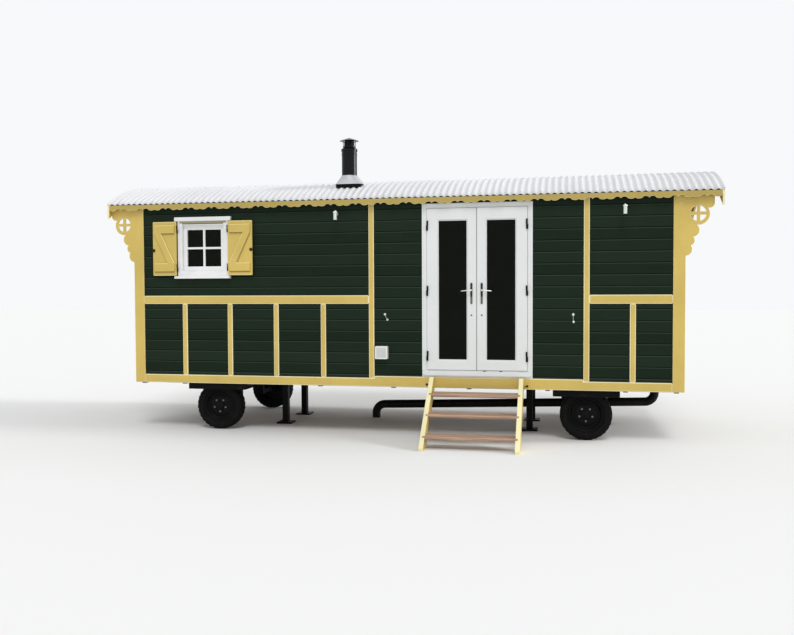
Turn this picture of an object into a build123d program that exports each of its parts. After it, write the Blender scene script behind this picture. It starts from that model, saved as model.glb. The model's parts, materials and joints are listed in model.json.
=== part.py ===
from build123d import *
import os
from math import sqrt

# Shepherd's hut: a timber body with a barrel roof, standing on prop legs and four road wheels.
# Millimetres, +Z up. +X runs along the hut, and the French doors face -Y.
# The origin is on the ground, in the middle of the whole footprint, steps included.

os.makedirs("parts", exist_ok=True)

# Body
body_length = 6660
body_width = 2300
eaves_height = 2837
wall_thickness = 100
trim_thickness = 20
floor_thickness = 80
seat_gap = 0.3
swing_gap = 5

# Roof
sheet_radius = 2470
sheet_depth = 18
deck_thickness = 22
eaves_overhang = 75
left_overhang = 330
right_overhang = 400
sheet_lip = 5
fascia_thickness = 25
fascia_depth = 142

# Valance, with the arcs of its scallops
valance_inset = 10
valance_depth = 66
scallop_pitch = 305
arch_width = 76
arch_height = 20
lobe_sag = 7
notch_width = 14
notch_height = 9

# Trim boards
skirt_drop = 27
skirt_height = 103
door_skirt_height = 127
corner_board_width = 131
batten_width = 65
batten_pitch = 600
rail_bottom = 1584
rail_height = 102
left_post = -249
right_post = 2260
right_bay_batten = 509
end_batten_spacing = 700

# Eaves bracket: each lobe's distance out from the corner, drop from the top and radius
bracket_lobes = ((131, 262, 120), (68, 439, 75), (36, 552, 58), (-8, 649, 75))
bracket_lug_depth = 197
bracket_lug_round = 50
bracket_hole_radius = 85
bracket_hole_drop = 254
bracket_cross_width = 36

# Doors
door_centre = 1010
door_frame_width = 1290
door_head_drop = 77
door_frame_depth = 70
door_frame_face = 55
door_frame_proud = 10
threshold_height = 103
sill_band_gap = 22
sill_band_height = 49
sill_band_inset = 13
sill_band_bevel = 16
leaf_thickness = 60
leaf_hinge_stile = 139
leaf_meeting_stile = 114
leaf_top_rail = 145
leaf_bottom_rail = 122
bead_width = 16
meeting_gap = 10
door_glass_thickness = 24

# Door hinges and handles
bottom_hinge_inset = 162
top_hinge_inset = 198
hinge_length = 116
hinge_barrel_radius = 10
hinge_pin_radius = 5
hinge_axis_inset = 6
hinge_flag = 12
hinge_frame_flag = 5
hinge_plate = 4
handle_plate_width = 20
handle_plate_height = 248
handle_plate_thickness = 10
handle_plate_setback = 55
handle_plate_centre = 1004
lever_rise = 37
lever_length = 120
lever_radius = 8
lever_reach = 45

# Window
window_inset = 935
casing_width = 676
casing_over_rail = 248
casing_head_drop = 223
casing_face = 64
casing_foot = 60
casing_head = 50
casing_proud = 25
liner_thickness = 30
casement_stile = 50
casement_rail = 57
casement_thickness = 45
casement_setback = 10
glazing_bar = 26
window_glass_thickness = 4
head_width = 746
head_height = 50
head_proud = 45
sill_width = 725
sill_height = 34
sill_proud = 78
sill_fall = 6

# Shutters
shutter_standoff = 36
shutter_board = 20
shutter_ledge = 18
shutter_ledge_width = 110
shutter_ledge_drop = 43
shutter_ledge_inset = 22
shutter_brace_width = 100
shutter_meeting_gap = 13
shutter_hinge_length = 92
shutter_hinge_inset = 97
shutter_barrel_radius = 5
shutter_pin_radius = 2.5
shutter_axis_inset = 5
shutter_strap = 4

# Flue
flue_x = -627
flue_forward = 700
flue_radius = 95
flue_wall = 4
flue_rise = 410
flashing_base = 344
flashing_corner = 50
flashing_shift = 25
flashing_sink = 11
flashing_height = 107
flashing_collar = 7
kerb_inset = 14
cowl_collar_radius = 102
cowl_collar_height = 25
cowl_neck_radius = 80
cowl_taper = 21
cowl_ring = 16
cowl_opening = 68
cowl_strap = 18
cowl_strap_count = 4
hat_radius = 120
hat_height = 42

# Fittings on the front wall
light_offset = 413
light_drop = 254
light_length = 97
light_radius = 22
light_standoff = 120
light_arm_radius = 6
light_arm_rise = 20
light_arm_bend = 18
light_plate_radius = 24
light_plate_thickness = 8
light_plate_drop = 35
outlet_gap = 14
outlet_width = 165
outlet_height = 168
outlet_over_floor = 225
outlet_depth = 70

# Steps
step_rise = 207
step_going = 230
step_count = 3
first_step_down = 230
first_tread_front = 280
tread_thickness = 40
tread_depth = 195
tread_round = 14
tread_housing = 25
nosing_overhang = 18
steps_inner_width = 988
steps_reach = 850
stringer_thickness = 52
stringer_depth = 150
stringer_top_gap = 17

# Undercarriage
tyre_radius = 298.5
tyre_width = 170
tyre_shoulder = 28
tyre_setback = 120
tyre_clearance = 23
axle_inset = 1070
rim_radius = 190
rim_thickness = 8
rim_inset = 30
disc_setback = 45
hub_radius = 55
hub_setback = 25
hub_length = 90
stub_radius = 20
stub_setback = 40
stub_root = 60
stud_count = 5
stud_circle = 77
stud_radius = 10
stud_length = 15
axle_beam = 60
rail_offset = 400
rail_width = 60
rail_depth = 70
bearer_depth = 45
bearer_width = 50
bearer_end_gap = 60
bearer_inset = 80
bearer_setback = 60
mudguard_length = 752
mudguard_width = 290
mudguard_drop = 108
mudguard_sheet = 5
prop_inset = 1741
prop_size = 78
foot_size = 200
foot_thickness = 20
pipe_radius = 55
pipe_offset = 270
pipe_riser_inset = 188
pipe_outfall = -520
pipe_high = 300
pipe_low = 182
pipe_bend = 120

# Levels
floor_bottom = 2 * tyre_radius + tyre_clearance
floor_top = floor_bottom + floor_thickness
skirt_bottom = floor_bottom - skirt_drop
skirt_top = skirt_bottom + skirt_height
door_skirt_top = skirt_bottom + door_skirt_height
rail_top = rail_bottom + rail_height

# The hut's middle, set so that the origin is under the middle of everything
roof_span = body_width + 2 * eaves_overhang
mid_x = (left_overhang - right_overhang) / 2
mid_y = (body_width / 2 + steps_reach - roof_span / 2) / 2
trim_face = body_width / 2
clad_face = trim_face - trim_thickness
inner_face = clad_face - wall_thickness
clad_end = body_length / 2 - trim_thickness
inner_end = clad_end - wall_thickness
board_end = body_length / 2 - corner_board_width
end_board = trim_face - corner_board_width

# Roof arcs share one centre line
sheet_inner_radius = sheet_radius - sheet_depth
deck_radius = sheet_inner_radius - seat_gap
deck_inner_radius = deck_radius - deck_thickness
wall_top_radius = deck_inner_radius - seat_gap
roof_centre = eaves_height - sqrt(wall_top_radius**2 - trim_face**2)
crown_height = roof_centre + sheet_radius
roof_left = mid_x - body_length / 2 - left_overhang
roof_right = mid_x + body_length / 2 + right_overhang
fascia_left = roof_left + sheet_lip
fascia_right = roof_right - sheet_lip
bracket_reach = left_overhang - sheet_lip - fascia_thickness
valance_face = roof_span / 2 - valance_inset
valance_back = valance_face - trim_thickness


def roof_height(radius, across):
    """Height of a roof arc at a distance from the hut's centre line."""
    return roof_centre + sqrt(radius**2 - across**2)


def save(piece, name):
    """Label a finished piece and write it as its own file."""
    piece.part.label = name
    export_step(piece.part, f"parts/{name}.step")


def slab(x_low, x_high, y_low, y_high, z_low, z_high, mode=Mode.ADD):
    """A square-edged member between six faces, its x and y measured from the hut's middle."""
    with Locations((mid_x + x_low, mid_y + y_low, z_low)):
        Box(x_high - x_low, y_high - y_low, z_high - z_low, align=(Align.MIN,) * 3, mode=mode)


# Floor
with BuildPart() as floor:
    slab(-clad_end, clad_end, -clad_face, clad_face, floor_bottom, floor_top)
save(floor, "floor")


def wall_profile(across_low, across_high, bottom):
    """An upright strip of the cross-section, cut off under the roof."""
    with Locations((mid_y + across_low, bottom)):
        Rectangle(across_high - across_low, crown_height - bottom, align=(Align.MIN, Align.MIN))
    with Locations((mid_y, roof_centre)):
        Circle(wall_top_radius, mode=Mode.INTERSECT)


# Doorway and window hole
door_left = door_centre - door_frame_width / 2
door_right = door_centre + door_frame_width / 2
door_frame_top = eaves_height - door_head_drop
window_centre = window_inset - body_length / 2
window_opening_width = casing_width - 2 * casing_face
casing_bottom = rail_top + casing_over_rail
casing_top = eaves_height - casing_head_drop
window_opening_bottom = casing_bottom + casing_foot
window_opening_top = casing_top - casing_head
liner_width = window_opening_width + 2 * liner_thickness
liner_bottom = window_opening_bottom - liner_thickness
liner_top = window_opening_top + liner_thickness

# Long walls, the front one split beside and over the doorway
with BuildPart() as front_wall_left:
    with BuildSketch(Plane.YZ.offset(mid_x - clad_end)):
        wall_profile(-clad_face, -inner_face, floor_top)
    extrude(amount=clad_end + door_left)
    slab(
        window_centre - liner_width / 2,
        window_centre + liner_width / 2,
        -clad_face,
        -inner_face,
        liner_bottom,
        liner_top,
        mode=Mode.SUBTRACT,
    )
save(front_wall_left, "front_wall_left")

with BuildPart() as front_wall_right:
    with BuildSketch(Plane.YZ.offset(mid_x + door_right)):
        wall_profile(-clad_face, -inner_face, floor_top)
    extrude(amount=clad_end - door_right)
save(front_wall_right, "front_wall_right")

with BuildPart() as front_wall_over_door:
    with BuildSketch(Plane.YZ.offset(mid_x + door_left)):
        wall_profile(-clad_face, -inner_face, door_frame_top)
    extrude(amount=door_frame_width)
save(front_wall_over_door, "front_wall_over_door")

with BuildPart() as rear_wall:
    with BuildSketch(Plane.YZ.offset(mid_x - clad_end)):
        wall_profile(inner_face, clad_face, floor_top)
    extrude(amount=2 * clad_end)
save(rear_wall, "rear_wall")

# End walls, arched under the roof
for name, start in (("left_end_wall", -clad_end), ("right_end_wall", inner_end)):
    with BuildPart() as end_wall:
        with BuildSketch(Plane.YZ.offset(mid_x + start)):
            wall_profile(-inner_face, inner_face, floor_top)
        extrude(amount=wall_thickness)
    save(end_wall, name)


def roof_profile(outer, inner, half_span):
    """A curved strip of the roof's cross-section between two radii."""
    with Locations((mid_y, roof_centre)):
        Circle(outer)
        Circle(inner, mode=Mode.SUBTRACT)
        Rectangle(2 * half_span, 2 * outer, align=(Align.CENTER, Align.MIN), mode=Mode.INTERSECT)


# Roof: boarded deck under the corrugated sheet, and the arched fascias that close its ends
between_fascias = fascia_right - fascia_left - 2 * fascia_thickness
with BuildPart() as roof_deck:
    with BuildSketch(Plane.YZ.offset(fascia_left + fascia_thickness)):
        roof_profile(deck_radius, deck_inner_radius, valance_back)
    extrude(amount=between_fascias)
save(roof_deck, "roof_deck")

with BuildPart() as roof_sheet:
    with BuildSketch(Plane.YZ.offset(roof_left)):
        roof_profile(sheet_radius, sheet_inner_radius, roof_span / 2)
    extrude(amount=roof_right - roof_left)
save(roof_sheet, "roof_sheet")

with BuildPart() as end_fascias:
    for start in (fascia_left, fascia_right - fascia_thickness):
        with BuildSketch(Plane.YZ.offset(start)):
            roof_profile(deck_radius, deck_radius - fascia_depth, valance_face)
        extrude(amount=fascia_thickness)
save(end_fascias, "end_fascias")

# One scallop of the valance: a cusp between two arches, a rounded lobe beside each, half a notch at the ends
lobe_start = arch_width
lobe_end = (scallop_pitch - notch_width) / 2
board_top = valance_depth + trim_thickness

with BuildSketch() as scallop:
    with BuildLine():
        ThreePointArc((0, 0), (arch_width / 2, arch_height), (lobe_start, 0))
        ThreePointArc((lobe_start, 0), ((lobe_start + lobe_end) / 2, -lobe_sag), (lobe_end, 0))
        Polyline(
            (lobe_end, 0), (scallop_pitch / 2, notch_height), (scallop_pitch / 2, board_top), (0, board_top), (0, 0)
        )
    make_face()
    mirror(about=Plane.YZ)

# Valances under both eaves, their top edges following the roof
valance_foot = roof_height(deck_radius, valance_face) - valance_depth
scallop_count = int(between_fascias / scallop_pitch)

with BuildPart() as valances:
    for side in (-1, 1):
        middle = mid_y + side * (valance_face + valance_back) / 2
        with BuildSketch(Plane.XZ.offset(-middle)):
            with Locations((0, valance_foot + board_top)):
                Rectangle(between_fascias, board_top - arch_height, align=(Align.CENTER, Align.MAX))
            with Locations((0, valance_foot)):
                with GridLocations(scallop_pitch, 0, scallop_count, 1):
                    add(scallop.sketch)
        extrude(amount=trim_thickness / 2, both=True)
    with BuildSketch(Plane.YZ.offset(roof_left)):
        with Locations((mid_y, roof_centre)):
            Circle(deck_radius)
    extrude(amount=roof_right - roof_left, mode=Mode.INTERSECT)
save(valances, "valances")

# Eaves bracket, drawn to the right of a corner whose top is at its origin: a lug, a boss and three lobes
with BuildSketch() as bracket:
    Rectangle(bracket_reach, bracket_lug_depth, align=(Align.MIN, Align.MAX))
    lug_corner = bracket.vertices().group_by(Axis.X)[-1].sort_by(Axis.Y)[0]
    fillet(lug_corner, bracket_lug_round)
    with BuildLine():
        Polyline((0, 0), *[(out, -drop) for out, drop, _ in bracket_lobes], close=True)
    make_face()
    for out, drop, radius in bracket_lobes:
        with Locations((out, -drop)):
            Circle(radius)
    with Locations((bracket_lobes[0][0], -bracket_hole_drop)):
        Circle(bracket_hole_radius, mode=Mode.SUBTRACT)
        Rectangle(2 * bracket_hole_radius + bracket_cross_width, bracket_cross_width)
        Rectangle(bracket_cross_width, 2 * bracket_hole_radius + bracket_cross_width)


def corner_boards(name, facing):
    """Both corner boards of one long side with their eaves brackets, and the boards round the corners."""
    clad = facing * clad_face
    y_low, y_high = sorted((facing * trim_face, clad))
    with BuildPart() as boards:
        with BuildSketch(Plane.XZ.offset(-mid_y - y_high)):
            for side in (-1, 1):
                corner = mid_x + side * body_length / 2
                with Locations((corner - side * corner_board_width / 2, skirt_bottom)):
                    Rectangle(corner_board_width, eaves_height - skirt_bottom, align=(Align.CENTER, Align.MIN))
            with Locations((mid_x + body_length / 2, eaves_height)):
                add(bracket.sketch)
            with Locations((mid_x - body_length / 2, eaves_height)):
                add(mirror(bracket.sketch, about=Plane.YZ, mode=Mode.PRIVATE))
        extrude(amount=trim_thickness)
        for side in (-1, 1):
            x_low, x_high = sorted((side * body_length / 2, side * clad_end))
            return_low, return_high = sorted((clad, facing * end_board))
            slab(x_low, x_high, return_low, return_high, skirt_bottom, eaves_height)
    save(boards, name)


corner_boards("front_corner_boards", -1)
corner_boards("rear_corner_boards", 1)

# Skirt boards: the front one is taller in the door bay
half_batten = batten_width / 2
with BuildPart() as skirt_boards:
    slab(-board_end, board_end, -trim_face, -clad_face, skirt_bottom, skirt_top)
    slab(left_post + half_batten, right_post - half_batten, -trim_face, -clad_face, skirt_bottom, door_skirt_top)
    slab(-board_end, board_end, clad_face, trim_face, skirt_bottom, skirt_top)
    slab(-body_length / 2, -clad_end, -end_board, end_board, skirt_bottom, skirt_top)
    slab(clad_end, body_length / 2, -end_board, end_board, skirt_bottom, skirt_top)
save(skirt_boards, "skirt_boards")

# Middle rails
with BuildPart() as mid_rails:
    slab(-board_end, left_post - half_batten, -trim_face, -clad_face, rail_bottom, rail_top)
    slab(right_post + half_batten, board_end, -trim_face, -clad_face, rail_bottom, rail_top)
    slab(-board_end, board_end, clad_face, trim_face, rail_bottom, rail_top)
    slab(-body_length / 2, -clad_end, -end_board, end_board, rail_bottom, rail_top)
    slab(clad_end, body_length / 2, -end_board, end_board, rail_bottom, rail_top)
save(mid_rails, "mid_rails")

# Battens under the middle rails, and the two full-height posts beside the door bay
left_battens = int((board_end + left_post) / batten_pitch)
with BuildPart() as front_battens:
    left_bay = [left_post - batten_pitch * (step + 1) for step in range(left_battens)]
    for centre in (*left_bay, right_post + right_bay_batten):
        slab(centre - half_batten, centre + half_batten, -trim_face, -clad_face, skirt_top, rail_bottom)
    for centre in (left_post, right_post):
        slab(centre - half_batten, centre + half_batten, -trim_face, -clad_face, skirt_top, eaves_height)
save(front_battens, "front_battens")

rear_count = int(2 * board_end / batten_pitch)
with BuildPart() as rear_battens:
    for step in range(rear_count):
        centre = (step - (rear_count - 1) / 2) * batten_pitch
        slab(centre - half_batten, centre + half_batten, clad_face, trim_face, skirt_top, rail_bottom)
save(rear_battens, "rear_battens")

with BuildPart() as end_battens:
    for x_low, x_high in ((-body_length / 2, -clad_end), (clad_end, body_length / 2)):
        for centre in (-end_batten_spacing / 2, end_batten_spacing / 2):
            slab(x_low, x_high, centre - half_batten, centre + half_batten, skirt_top, rail_bottom)
save(end_battens, "end_battens")

# Window: liner and casing in one, with head board and sloping sill
casing_line = clad_face + casing_proud
half_casing = casing_width / 2
with BuildPart() as window_frame:
    slab(
        window_centre - half_casing, window_centre + half_casing, -casing_line, -clad_face, casing_bottom, casing_top
    )
    slab(
        window_centre - liner_width / 2,
        window_centre + liner_width / 2,
        -clad_face,
        -inner_face,
        liner_bottom,
        liner_top,
    )
    slab(
        window_centre - head_width / 2,
        window_centre + head_width / 2,
        -clad_face - head_proud,
        -clad_face,
        casing_top,
        casing_top + head_height,
    )
    with BuildSketch(Plane.YZ.offset(mid_x + window_centre - sill_width / 2)):
        with BuildLine():
            Polyline(
                (mid_y - clad_face, casing_bottom),
                (mid_y - clad_face, casing_bottom - sill_height),
                (mid_y - clad_face - sill_proud, casing_bottom - sill_height),
                (mid_y - clad_face - sill_proud, casing_bottom - sill_fall),
                (mid_y - casing_line, casing_bottom),
                close=True,
            )
        make_face()
    extrude(amount=sill_width)
    slab(
        window_centre - window_opening_width / 2,
        window_centre + window_opening_width / 2,
        -casing_line,
        -inner_face,
        window_opening_bottom,
        window_opening_top,
        mode=Mode.SUBTRACT,
    )
save(window_frame, "window_frame")

# Casement with a cross of glazing bars, and its four panes
casement_face = clad_face - casement_setback
pane_left = window_centre - window_opening_width / 2 + casement_stile
pane_right = window_centre + window_opening_width / 2 - casement_stile
pane_bottom = window_opening_bottom + casement_rail
pane_top = window_opening_top - casement_rail
pane_width = (pane_right - pane_left - glazing_bar) / 2
pane_height = (pane_top - pane_bottom - glazing_bar) / 2
pane_corners = [
    (pane_left + column * (pane_width + glazing_bar), pane_bottom + row * (pane_height + glazing_bar))
    for column in (0, 1)
    for row in (0, 1)
]

with BuildPart() as window_casement:
    slab(
        window_centre - window_opening_width / 2,
        window_centre + window_opening_width / 2,
        -casement_face,
        -casement_face + casement_thickness,
        window_opening_bottom,
        window_opening_top,
    )
    for left, bottom in pane_corners:
        slab(
            left,
            left + pane_width,
            -casement_face,
            -casement_face + casement_thickness,
            bottom,
            bottom + pane_height,
            mode=Mode.SUBTRACT,
        )
save(window_casement, "window_casement")

with BuildPart() as window_glass:
    glass_face = -casement_face + casement_thickness / 2
    for left, bottom in pane_corners:
        slab(left, left + pane_width, glass_face, glass_face + window_glass_thickness, bottom, bottom + pane_height)
save(window_glass, "window_glass")

# Shutters, folded back against the wall at rest, each turning about the middle of its thickness
shutter_back = clad_face + shutter_standoff
shutter_face = shutter_back + shutter_board
ledge_face = shutter_face + shutter_ledge
shutter_axis_y = (shutter_back + ledge_face) / 2
shutter_axis_x = half_casing - shutter_axis_inset
shutter_hinge_gap = shutter_strap / 2 + swing_gap
shutter_inner = shutter_axis_x + shutter_hinge_gap
shutter_width = shutter_axis_x - shutter_hinge_gap - shutter_meeting_gap / 2
shutter_top = casing_top - swing_gap
shutter_bottom = casing_bottom + swing_gap
shutter_hinge_heights = (shutter_bottom + shutter_hinge_inset, shutter_top - shutter_hinge_inset)


def shutter(name, side):
    """A ledged and braced shutter; its ledges and brace show while it stands open."""
    inner = window_centre + side * shutter_inner
    outer = inner + side * shutter_width
    axis_x = mid_x + window_centre + side * shutter_axis_x
    axis_y = mid_y - shutter_axis_y
    low, high = sorted((inner, outer))
    lower_ledge = shutter_bottom + shutter_ledge_drop
    upper_ledge = shutter_top - shutter_ledge_drop - shutter_ledge_width
    with BuildPart() as leaf:
        slab(low, high, -shutter_face, -shutter_back, shutter_bottom, shutter_top)
        for bottom in (lower_ledge, upper_ledge):
            slab(
                low + shutter_ledge_inset,
                high - shutter_ledge_inset,
                -ledge_face,
                -shutter_face,
                bottom,
                bottom + shutter_ledge_width,
            )
        brace_outer = mid_x + outer - side * shutter_ledge_inset
        brace_inner = mid_x + inner + side * shutter_ledge_inset
        with BuildSketch(Plane.XZ.offset(-mid_y + shutter_face)):
            with BuildLine():
                Polyline(
                    (brace_outer, upper_ledge),
                    (brace_outer - side * shutter_brace_width, upper_ledge),
                    (brace_inner, lower_ledge + shutter_ledge_width),
                    (brace_inner + side * shutter_brace_width, lower_ledge + shutter_ledge_width),
                    close=True,
                )
            make_face()
        extrude(amount=shutter_ledge)
        strap_low, strap_high = sorted((axis_x, mid_x + inner))
        for height in shutter_hinge_heights:
            with BuildSketch(Plane.XY.offset(height)):
                with Locations((axis_x, axis_y)):
                    Circle(shutter_barrel_radius)
                with Locations((strap_low, axis_y)):
                    Rectangle(strap_high - strap_low, shutter_strap, align=(Align.MIN, Align.CENTER))
                with Locations((axis_x, axis_y)):
                    Circle(shutter_pin_radius + seat_gap, mode=Mode.SUBTRACT)
            extrude(amount=shutter_hinge_length / 2)
    save(leaf, name)


shutter("left_shutter", -1)
shutter("right_shutter", 1)

# Fixed halves of the shutters' hinges, each with its pin and a strap to the casing
with BuildPart() as shutter_pintles:
    for side in (-1, 1):
        axis_x = mid_x + window_centre + side * shutter_axis_x
        axis_y = mid_y - shutter_axis_y
        for height in shutter_hinge_heights:
            with BuildSketch(Plane.XY.offset(height - seat_gap)):
                with Locations((axis_x, axis_y)):
                    Circle(shutter_barrel_radius)
                    Rectangle(shutter_strap, shutter_axis_y - casing_line, align=(Align.CENTER, Align.MIN))
            extrude(amount=-shutter_hinge_length / 2)
            with BuildSketch(Plane.XY.offset(height - seat_gap)):
                with Locations((axis_x, axis_y)):
                    Circle(shutter_pin_radius)
            extrude(amount=shutter_hinge_length / 2)
save(shutter_pintles, "shutter_pintles")

# Door frame in the doorway, with a weathering band along its foot
frame_face = clad_face + door_frame_proud
frame_back = frame_face - door_frame_depth
opening_left = door_left + door_frame_face
opening_right = door_right - door_frame_face
opening_top = door_frame_top - door_frame_face
threshold_top = floor_top + threshold_height
band_bottom = door_skirt_top + sill_band_gap
with BuildPart() as door_frame:
    slab(door_left, door_right, -frame_face, -frame_back, floor_top, door_frame_top)
    slab(opening_left, opening_right, -frame_face, -frame_back, threshold_top, opening_top, mode=Mode.SUBTRACT)
    slab(door_left, door_right, -frame_face, -clad_face, floor_top, door_skirt_top, mode=Mode.SUBTRACT)
    with BuildSketch(Plane.XZ.offset(frame_face - mid_y)) as band:
        with Locations((mid_x + door_centre, band_bottom)):
            Rectangle(
                door_frame_width - 2 * sill_band_inset, sill_band_height, align=(Align.CENTER, Align.MIN)
            )
        chamfer(band.vertices().group_by(Axis.Y)[0], sill_band_bevel)
    extrude(amount=trim_face + trim_thickness - frame_face)
save(door_frame, "door_frame")

# Door leaves, their glass, handles and hinges
leaf_width = (opening_right - opening_left - 2 * swing_gap - meeting_gap) / 2
leaf_bottom = threshold_top + swing_gap
leaf_top = opening_top - swing_gap
leaf_face = trim_face
leaf_back = leaf_face - leaf_thickness
leaf_middle = (leaf_face + leaf_back) / 2
door_glass_bottom = leaf_bottom + leaf_bottom_rail
door_glass_top = leaf_top - leaf_top_rail
hinge_axis_y = leaf_face + hinge_barrel_radius + seat_gap
lowest_hinge = leaf_bottom + bottom_hinge_inset
highest_hinge = leaf_top - top_hinge_inset
door_hinge_heights = (lowest_hinge, (lowest_hinge + highest_hinge) / 2, highest_hinge)
plate_middle = floor_top + handle_plate_centre
lever_height = plate_middle + lever_rise


def door(name, hinge_side):
    """One glazed leaf with its pane, its handles and its halves of the hinges."""
    hinge_edge = (opening_left if hinge_side < 0 else opening_right) - hinge_side * swing_gap
    meeting_edge = hinge_edge - hinge_side * leaf_width
    low, high = sorted((hinge_edge, meeting_edge))
    glass_low, glass_high = sorted(
        (hinge_edge - hinge_side * leaf_hinge_stile, meeting_edge + hinge_side * leaf_meeting_stile)
    )
    with BuildPart() as leaf:
        slab(low, high, -leaf_face, -leaf_back, leaf_bottom, leaf_top)
        slab(
            glass_low,
            glass_high,
            -leaf_face,
            -leaf_back,
            door_glass_bottom,
            door_glass_top,
            mode=Mode.SUBTRACT,
        )
        leaf_sides = leaf.faces().filter_by(Axis.Y).group_by(Axis.Y)
        chamfer(leaf_sides[0][0].inner_wires()[0].edges() + leaf_sides[-1][0].inner_wires()[0].edges(), bead_width)
    save(leaf, name)

    with BuildPart() as pane:
        slab(
            glass_low,
            glass_high,
            -leaf_middle - door_glass_thickness / 2,
            -leaf_middle + door_glass_thickness / 2,
            door_glass_bottom,
            door_glass_top,
        )
    save(pane, f"{name}_glass")

    plate_centre = meeting_edge + hinge_side * handle_plate_setback
    with BuildPart() as handles:
        for face, outward in ((-leaf_face, -1), (-leaf_back, 1)):
            y_low, y_high = sorted((face, face + outward * handle_plate_thickness))
            slab(
                plate_centre - handle_plate_width / 2,
                plate_centre + handle_plate_width / 2,
                y_low,
                y_high,
                plate_middle - handle_plate_height / 2,
                plate_middle + handle_plate_height / 2,
            )
            with BuildSketch(Plane.XZ.offset(-mid_y - face)):
                with Locations((mid_x + plate_centre, lever_height)):
                    Circle(lever_radius)
            extrude(amount=-outward * lever_reach)
            grip = face + outward * (lever_reach - lever_radius)
            with BuildSketch(Plane.YZ.offset(mid_x + plate_centre - hinge_side * lever_radius)):
                with Locations((mid_y + grip, lever_height)):
                    Circle(lever_radius)
            extrude(amount=hinge_side * (lever_length + lever_radius))
    save(handles, f"{name}_handles")

    axis = (mid_x + hinge_edge - hinge_side * hinge_axis_inset, mid_y - hinge_axis_y)
    flag_end = mid_x + hinge_edge - hinge_side * (hinge_axis_inset + hinge_flag)
    with BuildPart() as hinges:
        for height in door_hinge_heights:
            with BuildSketch(Plane.XY.offset(height + seat_gap)):
                with Locations(axis):
                    Circle(hinge_barrel_radius)
                with Locations((min(axis[0], flag_end), mid_y - leaf_face)):
                    Rectangle(hinge_flag, hinge_plate, align=(Align.MIN, Align.MAX))
                with Locations(axis):
                    Circle(hinge_pin_radius + seat_gap, mode=Mode.SUBTRACT)
            extrude(amount=hinge_length / 2)
    save(hinges, f"{name}_hinges")


door("left_door", -1)
door("right_door", 1)

# Frame halves of the door hinges, with their pins
with BuildPart() as frame_hinges:
    for hinge_side, edge in ((-1, opening_left), (1, opening_right)):
        axis = (mid_x + edge - hinge_side * (swing_gap + hinge_axis_inset), mid_y - hinge_axis_y)
        flag_end = mid_x + edge + hinge_side * hinge_frame_flag
        for height in door_hinge_heights:
            with BuildSketch(Plane.XY.offset(height)):
                with Locations(axis):
                    Circle(hinge_barrel_radius)
                with Locations((min(axis[0], flag_end), mid_y - leaf_face - seat_gap)):
                    Rectangle(abs(axis[0] - flag_end), hinge_plate, align=(Align.MIN, Align.MAX))
                with Locations((min(mid_x + edge, flag_end), mid_y - frame_face)):
                    Rectangle(hinge_frame_flag, leaf_face - frame_face + hinge_plate, align=(Align.MIN, Align.MAX))
            extrude(amount=-hinge_length / 2)
            with BuildSketch(Plane.XY.offset(height)):
                with Locations(axis):
                    Circle(hinge_pin_radius)
            extrude(amount=hinge_length / 2)
save(frame_hinges, "frame_hinges")

# Flue pipe, flashing and cowl
flue_x_place = mid_x + flue_x
flue_y_place = mid_y - flue_forward
flashing_place = (flue_x_place + flashing_shift, flue_y_place)
flue_foot = roof_height(sheet_radius, flue_forward + flashing_base / 2)
roof_at_flue = roof_height(sheet_radius, flue_forward)
flue_top = roof_at_flue + flue_rise


def clear_roof():
    """Take away all that would lie in or under the roof sheet."""
    with Locations(Location((flue_x_place, mid_y, roof_centre), (0, 90, 0))):
        Cylinder(sheet_radius + seat_gap, 2 * flashing_base, mode=Mode.SUBTRACT)


with BuildPart() as flue_pipe:
    with BuildSketch(Plane.XY.offset(flue_foot)):
        with Locations((flue_x_place, flue_y_place)):
            Circle(flue_radius)
            Circle(flue_radius - flue_wall, mode=Mode.SUBTRACT)
    extrude(amount=flue_top - flue_foot)
    clear_roof()
save(flue_pipe, "flue_pipe")

with BuildPart() as flue_flashing:
    with BuildSketch(Plane.XY.offset(roof_at_flue - flashing_sink)):
        with Locations(flashing_place):
            RectangleRounded(flashing_base, flashing_base, flashing_corner)
    with BuildSketch(Plane.XY.offset(roof_at_flue + flashing_height)):
        with Locations((flue_x_place, flue_y_place)):
            Circle(flue_radius + flashing_collar)
    loft()
    with BuildSketch(Plane.XY.offset(flue_foot)):
        with Locations(flashing_place):
            Rectangle(flashing_base - 2 * kerb_inset, flashing_base - 2 * kerb_inset)
    extrude(amount=roof_at_flue - flashing_sink - flue_foot)
    with BuildSketch(Plane.XY.offset(flue_foot)):
        with Locations((flue_x_place, flue_y_place)):
            Circle(flue_radius + seat_gap)
    extrude(amount=roof_at_flue + flashing_height - flue_foot, mode=Mode.SUBTRACT)
    clear_roof()
save(flue_flashing, "flue_flashing")

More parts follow.
